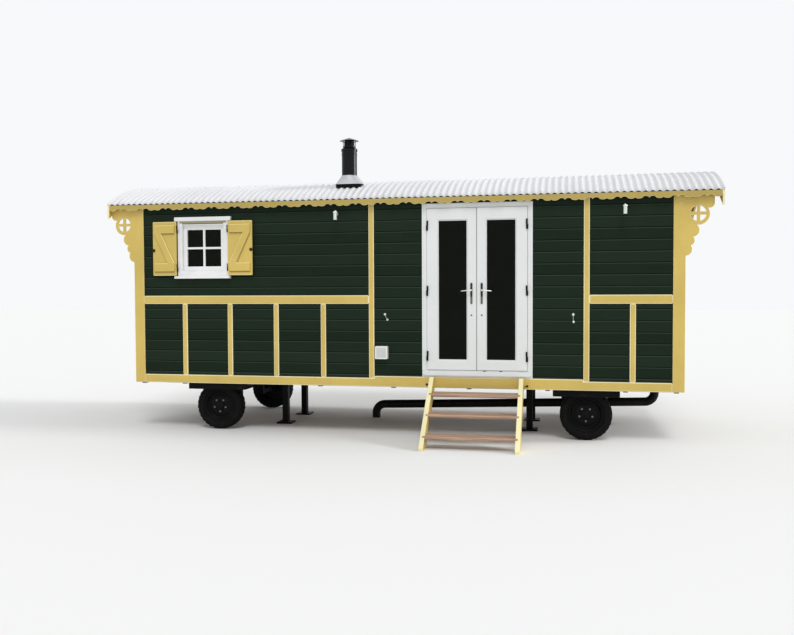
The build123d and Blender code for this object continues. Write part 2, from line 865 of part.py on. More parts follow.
neck_bottom = flue_top + cowl_collar_height + cowl_taper
hat_bottom = neck_bottom + cowl_ring + cowl_opening
with BuildPart() as flue_cowl:
    with BuildSketch(Plane.XZ.offset(-flue_y_place)):
        with BuildLine():
            Polyline(
                (flue_x_place + flue_radius - flue_wall, flue_top),
                (flue_x_place + cowl_collar_radius, flue_top),
                (flue_x_place + cowl_collar_radius, flue_top + cowl_collar_height),
                (flue_x_place + cowl_neck_radius, neck_bottom),
                (flue_x_place + cowl_neck_radius, neck_bottom + cowl_ring),
                (flue_x_place + cowl_neck_radius - flue_wall, neck_bottom + cowl_ring),
                (flue_x_place + cowl_neck_radius - flue_wall, neck_bottom),
                (flue_x_place + flue_radius - flue_wall, flue_top + cowl_collar_height),
                close=True,
            )
        make_face()
        with BuildLine():
            Polyline(
                (flue_x_place, hat_bottom),
                (flue_x_place + hat_radius, hat_bottom),
                (flue_x_place, hat_bottom + hat_height),
                close=True,
            )
        make_face()
    revolve(axis=Axis((flue_x_place, flue_y_place, 0), (0, 0, 1)))
    with BuildSketch(Plane.XY.offset(neck_bottom)):
        with Locations((flue_x_place, flue_y_place)):
            with PolarLocations(cowl_neck_radius - flue_wall / 2, cowl_strap_count):
                Rectangle(flue_wall, cowl_strap)
    extrude(amount=hat_bottom - neck_bottom)
save(flue_cowl, "flue_cowl")

# Wall lights: a small downlight on a hooked arm from its wall plate
light_bottom = eaves_height - light_drop
light_top = light_bottom + light_length
light_y = mid_y - clad_face - light_standoff
arm_y = mid_y - clad_face - light_plate_thickness
with BuildPart() as wall_lights:
    for place in (left_post - light_offset, right_post + light_offset):
        with BuildSketch(Plane.XY.offset(light_bottom)):
            with Locations((mid_x + place, light_y)):
                Circle(light_radius)
        extrude(amount=light_length)
        with BuildSketch(Plane.XZ.offset(-mid_y + clad_face)):
            with Locations((mid_x + place, light_top - light_plate_drop)):
                Circle(light_plate_radius)
        extrude(amount=light_plate_thickness)
        with BuildLine(Plane.YZ.offset(mid_x + place)) as arm:
            FilletPolyline(
                (light_y, light_top),
                (light_y, light_top + light_arm_rise),
                (arm_y, light_top + light_arm_rise),
                (arm_y, light_top - light_plate_drop),
                radius=light_arm_bend,
            )
        with BuildSketch(Plane.XY.offset(light_top)):
            with Locations((mid_x + place, light_y)):
                Circle(light_arm_radius)
        sweep(path=arm.line)
save(wall_lights, "wall_lights")

# Outlet box beside the doors
outlet_left = left_post + half_batten + outlet_gap
outlet_bottom = floor_top + outlet_over_floor
with BuildPart() as outlet_box:
    slab(
        outlet_left,
        outlet_left + outlet_width,
        -clad_face - outlet_depth,
        -clad_face,
        outlet_bottom,
        outlet_bottom + outlet_height,
    )
save(outlet_box, "outlet_box")

# Steps: treads let into two leaning stringers
front_line = mid_y - trim_face
steepness = step_rise / step_going
stringer_top = band_bottom - stringer_top_gap
first_tread_top = band_bottom + sill_band_height - first_step_down
treads = [
    (first_tread_front + step_going * step, first_tread_top - step_rise * step) for step in range(step_count)
]
edge_reach = first_tread_front - nosing_overhang + first_tread_top / steepness
edge_fall = stringer_depth * sqrt(1 + steepness**2)

with BuildPart() as step_stringers:
    for side in (-1, 1):
        near = door_centre + side * steps_inner_width / 2
        far = near + side * stringer_thickness
        with BuildSketch(Plane.YZ.offset(mid_x + min(near, far))):
            with BuildLine():
                Polyline(
                    (front_line, stringer_top),
                    (front_line - edge_reach + stringer_top / steepness, stringer_top),
                    (front_line - steps_reach, (edge_reach - steps_reach) * steepness),
                    (front_line - steps_reach, 0),
                    (front_line - edge_reach + edge_fall / steepness, 0),
                    (front_line, edge_reach * steepness - edge_fall),
                    close=True,
                )
            make_face()
        extrude(amount=stringer_thickness)
    for front, top in treads:
        slab(
            door_centre - steps_inner_width / 2 - tread_housing,
            door_centre + steps_inner_width / 2 + tread_housing,
            -trim_face - front,
            -trim_face - front + tread_depth,
            top - tread_thickness,
            top,
            mode=Mode.SUBTRACT,
        )
save(step_stringers, "step_stringers")

with BuildPart() as step_treads:
    for front, top in treads:
        slab(
            door_centre - steps_inner_width / 2 - tread_housing,
            door_centre + steps_inner_width / 2 + tread_housing,
            -trim_face - front,
            -trim_face - front + tread_depth,
            top - tread_thickness,
            top,
        )
    nosings = [
        edge
        for front, top in treads
        for edge in step_treads.edges().filter_by(Axis.X)
        if abs(edge.center().Y - (front_line - front)) < seat_gap
    ]
    fillet(nosings, tread_round)
save(step_treads, "step_treads")

# Chassis: cross bearers under the floor, on two long rails
axle_offset = body_length / 2 - axle_inset
half_guard = mudguard_length / 2
bearer_bottom = floor_bottom - bearer_depth
rail_foot = bearer_bottom - rail_depth
end_bearer = body_length / 2 - bearer_inset
guard_bearers = (axle_offset + half_guard + bearer_end_gap, axle_offset - half_guard - bearer_end_gap)
bearer_places = (end_bearer, *guard_bearers, guard_bearers[1] / 2, 0)
with BuildPart() as floor_bearers:
    for place in sorted({sign * place for place in bearer_places for sign in (-1, 1)}):
        slab(
            place - bearer_width / 2,
            place + bearer_width / 2,
            -trim_face + bearer_setback,
            trim_face - bearer_setback,
            bearer_bottom,
            floor_bottom,
        )
save(floor_bearers, "floor_bearers")

rail_end = end_bearer + bearer_width / 2
with BuildPart() as chassis_rails:
    for side in (-1, 1):
        centre = side * rail_offset
        slab(-rail_end, rail_end, centre - rail_width / 2, centre + rail_width / 2, rail_foot, bearer_bottom)
save(chassis_rails, "chassis_rails")

# Stub axles on brackets that drop from the rails
tyre_outer = trim_face - tyre_setback
tyre_inner = tyre_outer - tyre_width
stub_start = tyre_inner - stub_root
with BuildPart() as stub_axles:
    for end in (-1, 1):
        for side in (-1, 1):
            y_low, y_high = sorted((side * (rail_offset - rail_width / 2), side * (rail_offset + rail_width / 2)))
            slab(
                end * axle_offset - axle_beam,
                end * axle_offset + axle_beam,
                y_low,
                y_high,
                tyre_radius - axle_beam / 2,
                rail_foot,
            )
            y_low, y_high = sorted((side * (rail_offset + rail_width / 2), side * stub_start))
            slab(
                end * axle_offset - axle_beam / 2,
                end * axle_offset + axle_beam / 2,
                y_low,
                y_high,
                tyre_radius - axle_beam / 2,
                tyre_radius + axle_beam / 2,
            )
            with BuildSketch(Plane.XZ.offset(-mid_y - side * stub_start)):
                with Locations((mid_x + end * axle_offset, tyre_radius)):
                    Circle(stub_radius)
            extrude(amount=-side * (tyre_outer - stub_start - stub_setback))
save(stub_axles, "stub_axles")


def wheel(name, end, side):
    """A steel wheel on its stub axle, with the tyre as a piece of its own."""
    centre_x = mid_x + end * axle_offset
    axis = Axis((centre_x, 0, tyre_radius), (0, 1, 0))
    outer = mid_y + side * tyre_outer
    middle = mid_y + side * (tyre_outer + tyre_inner) / 2
    with BuildPart() as tyre:
        with BuildSketch(Plane.YZ.offset(centre_x)):
            with Locations((middle, tyre_radius + (rim_radius + tyre_radius) / 2)):
                RectangleRounded(tyre_width, tyre_radius - rim_radius, tyre_shoulder)
        revolve(axis=axis)
    save(tyre, f"{name}_tyre")

    with BuildPart() as rim:
        disc_face = outer - side * disc_setback
        with BuildSketch(Plane.XZ.offset(-middle)):
            with Locations((centre_x, tyre_radius)):
                Circle(rim_radius - seat_gap)
                Circle(rim_radius - rim_thickness, mode=Mode.SUBTRACT)
        extrude(amount=tyre_width / 2 - rim_inset, both=True)
        with BuildSketch(Plane.XZ.offset(-disc_face)):
            with Locations((centre_x, tyre_radius)):
                Circle(rim_radius - rim_thickness / 2)
        extrude(amount=side * rim_thickness)
        with BuildSketch(Plane.XZ.offset(-outer + side * hub_setback)):
            with Locations((centre_x, tyre_radius)):
                Circle(hub_radius)
        extrude(amount=side * hub_length)
        with BuildSketch(Plane.XZ.offset(-disc_face)):
            with Locations((centre_x, tyre_radius)):
                with PolarLocations(stud_circle, stud_count, 90):
                    Circle(stud_radius)
        extrude(amount=-side * stud_length)
        with BuildSketch(Plane.XZ.offset(-outer + side * (stub_setback - seat_gap))):
            with Locations((centre_x, tyre_radius)):
                Circle(stub_radius + seat_gap)
        extrude(amount=side * tyre_width, mode=Mode.SUBTRACT)
    save(rim, f"{name}_wheel")


for end_name, end in (("left", -1), ("right", 1)):
    for side_name, side in (("front", -1), ("rear", 1)):
        wheel(f"{side_name}_{end_name}", end, side)

# Mudguards: four-sided steel skirts round the wheels, closed above by the floor
with BuildPart() as mudguards:
    for end in (-1, 1):
        for side in (-1, 1):
            centre_x = end * axle_offset
            centre_y = side * (tyre_outer + tyre_inner) / 2
            for sheet, mode in ((0, Mode.ADD), (mudguard_sheet, Mode.SUBTRACT)):
                slab(
                    centre_x - half_guard + sheet,
                    centre_x + half_guard - sheet,
                    centre_y - mudguard_width / 2 + sheet,
                    centre_y + mudguard_width / 2 - sheet,
                    floor_bottom - mudguard_drop,
                    floor_bottom,
                    mode=mode,
                )
save(mudguards, "mudguards")

# Prop legs with foot plates
prop_offset = body_length / 2 - prop_inset
with BuildPart() as prop_legs:
    for end in (-1, 1):
        for side in (-1, 1):
            x, y = end * prop_offset, side * rail_offset
            slab(x - foot_size / 2, x + foot_size / 2, y - foot_size / 2, y + foot_size / 2, 0, foot_thickness)
            slab(
                x - prop_size / 2,
                x + prop_size / 2,
                y - prop_size / 2,
                y + prop_size / 2,
                foot_thickness,
                rail_foot,
            )
save(prop_legs, "prop_legs")

# Waste pipe under the floor, from its riser to its outfall
pipe_riser = mid_x + body_length / 2 - pipe_riser_inset
pipe_y = mid_y + pipe_offset
with BuildPart() as waste_pipe:
    with BuildLine() as run:
        FilletPolyline(
            (pipe_riser, pipe_y, floor_bottom),
            (pipe_riser, pipe_y, pipe_high),
            (mid_x + pipe_outfall, pipe_y, pipe_low),
            (mid_x + pipe_outfall, pipe_y, seat_gap),
            radius=pipe_bend,
        )
    with BuildSketch(Plane.XY.offset(floor_bottom)):
        with Locations((pipe_riser, pipe_y)):
            Circle(pipe_radius)
    sweep(path=run.line)
save(waste_pipe, "waste_pipe")
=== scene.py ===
"""Looks of the shepherd's hut: shiplap walls, barrel roof, painted trim, doors, steps and wheels."""

import json
from math import asin, ceil, cos, pi, radians, sin, sqrt, tau

import bmesh
import bpy
from mathutils import Matrix, Vector

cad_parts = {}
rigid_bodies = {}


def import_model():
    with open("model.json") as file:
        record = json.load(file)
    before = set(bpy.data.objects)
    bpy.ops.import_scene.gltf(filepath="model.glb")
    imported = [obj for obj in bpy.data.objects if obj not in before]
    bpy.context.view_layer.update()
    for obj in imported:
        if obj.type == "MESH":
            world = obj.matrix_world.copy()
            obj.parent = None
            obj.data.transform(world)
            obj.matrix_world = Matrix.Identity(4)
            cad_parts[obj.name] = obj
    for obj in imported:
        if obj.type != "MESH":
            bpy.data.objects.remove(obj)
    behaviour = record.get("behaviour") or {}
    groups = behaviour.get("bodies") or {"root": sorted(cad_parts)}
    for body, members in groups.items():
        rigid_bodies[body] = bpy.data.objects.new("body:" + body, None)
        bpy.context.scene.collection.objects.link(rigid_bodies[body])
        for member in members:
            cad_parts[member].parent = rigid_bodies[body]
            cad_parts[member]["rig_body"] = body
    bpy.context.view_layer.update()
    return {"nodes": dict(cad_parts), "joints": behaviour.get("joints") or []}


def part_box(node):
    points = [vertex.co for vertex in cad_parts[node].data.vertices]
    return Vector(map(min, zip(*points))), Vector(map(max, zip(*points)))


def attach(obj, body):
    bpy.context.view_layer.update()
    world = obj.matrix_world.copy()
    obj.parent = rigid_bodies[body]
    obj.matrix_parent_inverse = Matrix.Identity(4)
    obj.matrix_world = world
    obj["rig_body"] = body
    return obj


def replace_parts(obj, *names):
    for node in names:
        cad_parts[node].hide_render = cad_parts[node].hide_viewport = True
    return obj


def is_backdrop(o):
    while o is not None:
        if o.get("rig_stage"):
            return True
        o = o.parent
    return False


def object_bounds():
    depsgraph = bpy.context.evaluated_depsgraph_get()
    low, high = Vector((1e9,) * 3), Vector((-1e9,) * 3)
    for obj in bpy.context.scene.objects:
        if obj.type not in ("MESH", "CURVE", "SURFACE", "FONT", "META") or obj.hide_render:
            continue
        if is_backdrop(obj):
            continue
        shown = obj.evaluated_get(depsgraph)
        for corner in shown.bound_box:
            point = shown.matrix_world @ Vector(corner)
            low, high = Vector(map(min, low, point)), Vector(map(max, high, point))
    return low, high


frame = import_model()
nodes = frame["nodes"]
scene = bpy.context.scene


# Node trees, written as expressions
def operator(operation, swapped=False):
    """A method that joins a wire and another wire or a number by a math node."""

    def apply(self, other):
        values = (other, self) if swapped else (self, other)
        return self.graph.math(operation, *values)

    return apply


class Wire:
    """One output socket, which adds, multiplies and compares as a number does."""

    def __init__(self, graph, socket):
        self.graph = graph
        self.socket = socket

    __add__ = __radd__ = operator("ADD")
    __sub__ = operator("SUBTRACT")
    __rsub__ = operator("SUBTRACT", swapped=True)
    __mul__ = __rmul__ = operator("MULTIPLY")
    __truediv__ = operator("DIVIDE")
    __lt__ = operator("LESS_THAN")
    __gt__ = operator("GREATER_THAN")


class Graph:
    """A node tree that is built by calls, each of which returns the wire that leaves its node."""

    def __init__(self, tree):
        self.tree = tree

    def node(self, kind, settings=None, inputs=None, output=0):
        """Add a node from its settings and the values or wires of its sockets, by name or place."""
        made = self.tree.nodes.new(kind)
        for name, value in (settings or {}).items():
            setattr(made, name, value)
        items = inputs.items() if isinstance(inputs, dict) else enumerate(inputs or ())
        for key, value in items:
            if isinstance(value, Wire):
                self.tree.links.new(value.socket, made.inputs[key])
            elif value is not None:
                made.inputs[key].default_value = value
        return Wire(self, made.outputs[output])

    def math(self, operation, *values):
        return self.node("ShaderNodeMath", {"operation": operation}, values)

    def vector(self, operation, *values):
        return self.node("ShaderNodeVectorMath", {"operation": operation}, values)

    def join(self, x, y, z):
        return self.node("ShaderNodeCombineXYZ", None, (x, y, z))

    def parts(self, vector):
        return [self.node("ShaderNodeSeparateXYZ", None, (vector,), place) for place in range(3)]

    def soft(self, value, low, high):
        """0 under low, 1 over high and a smooth rise between them."""
        return self.node("ShaderNodeMapRange", {"interpolation_type": "SMOOTHSTEP"}, (value, low, high))

    def blend(self, factor, first, second):
        """Mix two colours."""
        return self.node("ShaderNodeMix", {"data_type": "RGBA"}, {0: factor, 6: first, 7: second}, 2)


def rgb(red, green, blue):
    return (red, green, blue, 1.0)


def shade(colour, factor):
    return (*[channel * factor for channel in colour[:3]], 1.0)


class Finish(Graph):
    """A material with one principled shader, whose patterns read Object coordinates."""

    def __init__(self, name, **constants):
        self.material = bpy.data.materials.new(name)
        self.material.use_nodes = True
        super().__init__(self.material.node_tree)
        self.shader = self.tree.nodes["Principled BSDF"]
        for key, value in constants.items():
            self.shader.inputs[key.replace("_", " ")].default_value = value
        self.place = self.node("ShaderNodeTexCoord", output="Object")
        self.x, self.y, self.z = self.parts(self.place)

    def noise(self, scale, stretch=(1, 1, 1), detail=3, rough=0.5, seed=0.0):
        moved = self.vector("MULTIPLY_ADD", self.place, stretch, (seed, seed * 1.7, seed * 0.6))
        pattern = {"Vector": moved, "Scale": scale, "Detail": detail, "Roughness": rough}
        return self.node("ShaderNodeTexNoise", None, pattern)

    def random(self, value):
        return self.node("ShaderNodeTexWhiteNoise", {"noise_dimensions": "1D"}, {"W": value})

    def set(self, **wires):
        for key, value in wires.items():
            self.tree.links.new(value.socket, self.shader.inputs[key.replace("_", " ")])
        return self.material

    def surface(self, colour, roughness, height, strength, distance):
        """Feed the shader its colour, roughness and relief, and return the material."""
        relief = {"Strength": strength, "Distance": distance, "Height": height}
        normal = self.node("ShaderNodeBump", None, relief)
        return self.set(Base_Color=colour, Roughness=roughness, Normal=normal)


def painted_timber(name, colour, grain, roughness=0.42):
    """Brushed paint over planed timber, with the grain along one axis."""
    finish = Finish(name)
    along = [18.0, 18.0, 18.0]
    along["xyz".index(grain)] = 0.9
    streaks = finish.noise(6.0, along, 4, 0.6)
    patches = finish.noise(1.7, rough=0.55, seed=4.0)
    tone = finish.soft(patches, 0.32, 0.7)
    grubby = finish.soft(finish.noise(9.0, detail=4, rough=0.6, seed=9.0), 0.55, 0.8)
    base = finish.blend(tone, shade(colour, 0.93), shade(colour, 1.05))
    base = finish.blend(grubby * 0.22, base, shade(colour, 0.72))
    base = finish.blend(finish.soft(streaks, 0.5, 0.72) * 0.16, base, shade(colour, 0.8))
    return finish.surface(base, roughness - 0.05 + streaks * 0.12, streaks, 0.25, 0.0006)


ochre = rgb(0.66, 0.485, 0.115)
ochre_lit = rgb(0.92, 0.82, 0.5)
pale_yellow = rgb(0.86, 0.8, 0.47)
white = rgb(0.86, 0.865, 0.865)

ochre_upright = painted_timber("ochre_upright", ochre, "z")
ochre_level = painted_timber("ochre_level", ochre, "x")
ochre_cross = painted_timber("ochre_cross", ochre, "y")
# painted shade: the valances' ochre darkened for the shade under the roof's overhang
ochre_valance = painted_timber("ochre_valance", shade(ochre, 0.72), "x")
# painted highlight: a paler ochre on the eased edges and end faces of the ochre trim, where light catches
# them
ochre_edge = painted_timber("ochre_edge", ochre_lit, "z", 0.38)
# the shutters' chamfers: painted highlight for those facing up, painted shade for those facing down
ochre_rim = painted_timber("ochre_rim", rgb(0.93, 0.76, 0.34), "z", 0.38)
ochre_under = painted_timber("ochre_under", rgb(0.21, 0.135, 0.035), "x", 0.5)
ochre_shaded = painted_timber("ochre_shaded", rgb(0.4, 0.28, 0.075), "z", 0.5)
yellow_stringer = painted_timber("yellow_stringer", pale_yellow, "z")
white_timber = painted_timber("white_timber", white, "x", 0.38)
# painted shade: beige for the casing's head in shade, and dark brown for the shadow line under it
weathered_white = painted_timber("weathered_white", rgb(0.4, 0.37, 0.23), "x", 0.5)
drip_brown = painted_timber("drip_brown", rgb(0.15, 0.13, 0.065), "x", 0.5)


def smooth_white():
    """Smooth factory-finished white of the doors."""
    finish = Finish("white_door", Coat_Weight=0.15, Coat_Roughness=0.15)
    patches = finish.noise(2.2)
    orange_peel = finish.noise(160.0, detail=1, rough=0.4)
    base = finish.blend(finish.soft(patches, 0.3, 0.7), rgb(0.76, 0.785, 0.775), rgb(0.8, 0.815, 0.805))
    return finish.surface(base, 0.26 + patches * 0.08, orange_peel, 0.08, 0.0003)


white_door = smooth_white()

# The cladding's boards: what each covers, where the lowest starts and where the scoop lies on it
board_cover = 0.131
clad_start = 0.614
scoop_start = 0.862
scoop_end = 0.925


def green_boards(name, grain):
    """Dark green paint on sawn shiplap, each board a little different, with a painted highlight on each
    board's scoop and a painted shadow under each lip.
    """
    finish = Finish(name, Specular_IOR_Level=0.07)
    along = [22.0, 22.0, 22.0]
    along["xyz".index(grain)] = 0.8
    height = (finish.z - clad_start) / board_cover
    board = finish.math("FLOOR", height)
    rise = finish.math("FRACT", height)
    scoop = finish.soft(rise, scoop_start - 0.02, scoop_start + 0.01) * (rise < scoop_end)
    tone = finish.random(board * 1.37 + 0.5)
    streaks = finish.noise(5.0, along, 5, 0.62)
    patches = finish.noise(1.1, seed=7.0)
    base = finish.blend(tone, rgb(0.0085, 0.0175, 0.0095), rgb(0.014, 0.0265, 0.015))
    base = finish.blend(finish.soft(streaks, 0.52, 0.75) * 0.35, base, rgb(0.024, 0.038, 0.025))
    base = finish.blend(finish.soft(patches, 0.55, 0.8) * 0.3, base, rgb(0.018, 0.03, 0.018))
    # painted highlight on the scoop at each board's top
    base = finish.blend(scoop * 0.5, base, rgb(0.05, 0.07, 0.055))
    # painted shadow under the lip of the board above
    base = finish.blend((rise > scoop_end) * 0.8, base, rgb(0.002, 0.004, 0.002))
    return finish.surface(base, 0.46 + streaks * 0.22, streaks, 0.35, 0.0008)


clad_long = green_boards("green_cladding_long", "x")
clad_end_boards = green_boards("green_cladding_end", "y")


def wall_paint():
    """Plain wall: green outside and on its edges, cream matchboard within the room."""
    finish = Finish("wall_inside_out")
    matchboard_width = 0.095
    low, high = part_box("left_end_wall")[1].x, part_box("right_end_wall")[0].x
    front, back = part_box("front_wall_left")[1].y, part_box("rear_wall")[0].y
    inside = (finish.x > low - 0.001) * (finish.x < high + 0.001)
    inside = inside * (finish.y > front - 0.001) * (finish.y < back + 0.001)
    groove = finish.math("FRACT", (finish.x + finish.y) / matchboard_width)
    joint = finish.soft(finish.math("ABSOLUTE", groove - 0.5), 0.46, 0.5)
    cream = finish.blend(joint * 0.5, rgb(0.7, 0.68, 0.6), rgb(0.3, 0.29, 0.25))
    streaks = finish.noise(5.0, (20, 20, 1), 4, 0.6)
    base = finish.blend(inside, rgb(0.014, 0.026, 0.016), cream)
    return finish.surface(base, 0.45 + streaks * 0.15, streaks * 0.2 - joint * inside, 0.6, 0.002)


wall_inside_out = wall_paint()

roof_low, roof_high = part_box("roof_sheet")
roof_length = roof_high.x - roof_low.x
wave_count = 97


def coated_sheet():
    """Pale coated steel with rain marks that run down the slope and painted shade in the valleys."""
    finish = Finish("roof_coating", Specular_IOR_Level=0.12)
    runs = finish.noise(3.0, (14, 1.2, 1.2), 4, 0.6)
    specks = finish.noise(26.0, detail=5, rough=0.65, seed=3.0)
    broad = finish.noise(0.8, detail=2, rough=0.5, seed=5.0)
    base = finish.blend(finish.soft(broad, 0.3, 0.7), rgb(0.665, 0.665, 0.68), rgb(0.72, 0.72, 0.735))
    base = finish.blend(finish.soft(runs, 0.5, 0.75) * 0.4, base, rgb(0.5, 0.49, 0.47))
    base = finish.blend(finish.soft(specks, 0.6, 0.75) * 0.25, base, rgb(0.42, 0.41, 0.37))
    wave = finish.math("COSINE", (finish.x - roof_low.x) * (tau * wave_count / roof_length))
    valley_painted_shade = 0.5 - wave * 0.5
    # painted shade: darker in the valleys of the waves
    base = finish.blend(finish.soft(valley_painted_shade, 0.6, 1.0) * 0.15, base, rgb(0.4, 0.39, 0.4))
    return finish.surface(base, 0.34 + runs * 0.2, specks, 0.1, 0.0005)


roof_coating = coated_sheet()


def timber(name, colour, grain, roughness=0.6, joint_axis=None, joint_pitch=0.12):
    """Bare or oiled timber with rings, and joints where boards meet."""
    finish = Finish(name)
    along = [16.0, 16.0, 16.0]
    along["xyz".index(grain)] = 0.7
    rings = finish.noise(4.0, along, 6, 0.6)
    pores = finish.noise(40.0, along, 2, 0.5, seed=2.0)
    base = finish.blend(finish.soft(rings, 0.35, 0.68), shade(colour, 1.18), shade(colour, 0.66))
    height = rings + pores * 0.3
    if joint_axis:
        step = {"x": finish.x, "y": finish.y, "z": finish.z}[joint_axis] / joint_pitch
        gap = finish.soft(finish.math("ABSOLUTE", finish.math("FRACT", step) - 0.5), 0.475, 0.5)
        tone = finish.random(finish.math("FLOOR", step))
        base = finish.blend(tone * 0.4, base, shade(colour, 0.75))
        base = finish.blend(gap, base, shade(colour, 0.2))
        height = height * 0.4 - gap * 2.0
    return finish.surface(base, roughness - 0.08 + rings * 0.2, height, 0.4, 0.001)


deck_timber = timber("roof_deck_boards", rgb(0.42, 0.3, 0.18), "x", 0.6, "y", 0.12)
floor_timber = timber("floor_boards", rgb(0.36, 0.25, 0.15), "x", 0.55, "y", 0.14)
bearer_timber = timber("bearer_timber", rgb(0.06, 0.045, 0.03), "y", 0.7)
tread_timber = timber("tread_timber", rgb(0.42, 0.27, 0.185), "x", 0.5)


def steel_paint(name, colour, roughness, wear=0.25, metallic=0.0, gloss=0.125, enamel=0.0):
    """Black or grey paint on steel, with dust and fine scuffs, and a coat of enamel where asked for."""
    shine = {"Specular_IOR_Level": gloss, "Coat_Weight": enamel, "Coat_Roughness": 0.3}
    finish = Finish(name, Metallic=metallic, **shine)
    dust = finish.noise(7.0, detail=4, rough=0.6)
    fine = finish.noise(90.0, detail=2, rough=0.5, seed=6.0)
    base = finish.blend(finish.soft(dust, 0.5, 0.8) * wear, colour, rgb(0.05, 0.045, 0.037))
    return finish.surface(base, roughness + dust * 0.15, fine, 0.03 if enamel else 0.12, 0.0004)


black_steel = steel_paint("black_steel", rgb(0.0045, 0.0045, 0.005), 0.4, 0.18, gloss=0.08)
black_hinge = steel_paint("black_hinge", rgb(0.008, 0.008, 0.009), 0.3, 0.08)
black_flue = steel_paint("black_flue", rgb(0.004, 0.004, 0.005), 0.12, 0.01, gloss=0.15, enamel=0.06)
black_pipe = steel_paint("black_pipe", rgb(0.006, 0.006, 0.006), 0.45, 0.25)
chassis_black = steel_paint("chassis_black", rgb(0.005, 0.005, 0.0055), 0.5, 0.35, gloss=0.075)
worn_nut = steel_paint("worn_nut", rgb(0.16, 0.155, 0.15), 0.42, 0.3, 0.5, 0.5)
dark_chrome = steel_paint("dark_chrome", rgb(0.03, 0.031, 0.034), 0.18, 0.03, 0.15, 0.2)
catch_iron = steel_paint("catch_iron", rgb(0.05, 0.02, 0.014), 0.42, 0.2)
# painted shade: near-black for the filler strips that stand in for the shade in the eaves' hollows
filler_black = steel_paint("filler_black", rgb(0.012, 0.01, 0.006), 0.8, 0.2, gloss=0.05)


def bright_metal(name, colour, roughness):
    """Bare metal with a drawn grain."""
    finish = Finish(name, Metallic=1.0)
    drawn = finish.noise(30.0, (1, 1, 40), 3, 0.6)
    stain = finish.noise(8.0, seed=2.0)
    base = finish.blend(finish.soft(stain, 0.4, 0.75) * 0.4, colour, shade(colour, 0.7))
    return finish.surface(base, roughness + drawn * 0.12, drawn, 0.1, 0.0003)


flashing_metal = steel_paint("flashing_metal", rgb(0.5, 0.495, 0.53), 0.3, 0.1, 0.45, 0.3)
lamp_steel = steel_paint("lamp_steel", rgb(0.74, 0.78, 0.75), 0.22, 0.02, 0.55, 0.5)
handle_metal = bright_metal("handle_metal", rgb(0.86, 0.84, 0.79), 0.24)
zinc = bright_metal("zinc", rgb(0.55, 0.55, 0.55), 0.4)


def rubber():
    """Tyre rubber with patches of dust."""
    finish = Finish("tyre_rubber", Specular_IOR_Level=0.08)
    dust = finish.noise(12.0, detail=5, rough=0.65)
    dusty = finish.soft(dust, 0.45, 0.8) * 0.5
    base = finish.blend(dusty, rgb(0.0055, 0.0055, 0.0055), rgb(0.02, 0.018, 0.015))
    return finish.surface(base, 0.62 + dust * 0.25, dust, 0.2, 0.0008)


tyre_rubber = rubber()


def window_pane():
    """Dark double glazing with a sheen and faint wipe marks."""
    finish = Finish("window_pane", Base_Color=rgb(0.004, 0.005, 0.0035), IOR=1.5, Specular_IOR_Level=0.07)
    wiped = finish.soft(finish.noise(4.0, (1, 1, 1.6), 4, 0.6), 0.5, 0.9)
    return finish.set(Alpha=0.88 + wiped * 0.06, Roughness=0.02 + wiped * 0.05)


pane_glass = window_pane()


def moulded_plastic(name, first, second, roughness=0.36):
    """Moulded plastic or rubber with a fine grain."""
    finish = Finish(name)
    patches = finish.noise(5.0)
    base = finish.blend(patches, first, second)
    return finish.surface(base, roughness + patches * 0.1, finish.noise(220.0), 0.08, 0.0003)


white_plastic = moulded_plastic("white_plastic", rgb(0.8, 0.81, 0.8), rgb(0.87, 0.88, 0.87))
lid_plastic = moulded_plastic("lid_plastic", rgb(0.58, 0.59, 0.58), rgb(0.65, 0.66, 0.65), 0.3)
seal_rubber = moulded_plastic("seal_rubber", rgb(0.42, 0.43, 0.42), rgb(0.5, 0.51, 0.5), 0.6)


# Mesh helpers
def link(data, name):
    """A new object in the scene, with a mesh, a lamp or a camera."""
    piece = bpy.data.objects.new(name, data)
    scene.collection.objects.link(piece)
    return piece


def mesh_of(work, name):
    """A mesh of what was gathered, its faces turned outward."""
    bmesh.ops.recalc_face_normals(work, faces=work.faces)
    mesh = bpy.data.meshes.new(name)
    work.to_mesh(mesh)
    work.free()
    return mesh


def made_plain(piece):
    """Turn a piece with modifiers into a plain mesh."""
    depsgraph = bpy.context.evaluated_depsgraph_get()
    mesh = bpy.data.meshes.new_from_object(piece.evaluated_get(depsgraph))
    piece.modifiers.clear()
    piece.data = mesh
    return piece


def merged(node, name):
    """A clean copy of a CAD node, its loose triangles joined and flat faces made whole."""
    mesh = nodes[node].data.copy()
    work = bmesh.new()
    work.from_mesh(mesh)
    bmesh.ops.remove_doubles(work, verts=work.verts, dist=0.00002)
    bmesh.ops.dissolve_limit(work, angle_limit=radians(0.05), verts=work.verts, edges=work.edges)
    work.to_mesh(mesh)
    work.free()
    mesh.materials.clear()
    for face in mesh.polygons:
        face.use_smooth = True
    return link(mesh, name)


def ease(piece, width, segments):
    """Take the sharpness off the edges and keep the flats flat; the last material goes on the new edges."""
    bevel = piece.modifiers.new("ease", "BEVEL")
    bevel.width = width
    bevel.segments = segments
    bevel.limit_method = "ANGLE"
    bevel.angle_limit = radians(28)
    bevel.material = len(piece.data.materials) - 1
    flats = piece.modifiers.new("flats", "WEIGHTED_NORMAL")
    flats.keep_sharp = True
    return made_plain(piece)


def dress(node, materials, width, segments):
    """Show a CAD node with eased edges and its finish."""
    piece = merged(node, node + "_eased")
    for material in materials:
        piece.data.materials.append(material)
    ease(piece, width, segments)
    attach(piece, nodes[node]["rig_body"])
    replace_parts(piece, node)
    return piece


def paint_node(node, material):
    """Leave a CAD node as it is and give it a material."""
    nodes[node].data.materials.clear()
    nodes[node].data.materials.append(material)


def repaint(piece, index, faces_that):
    """Give the faces that pass a test another of the piece's materials."""
    for face in piece.data.polygons:
        if faces_that(face):
            face.material_index = index


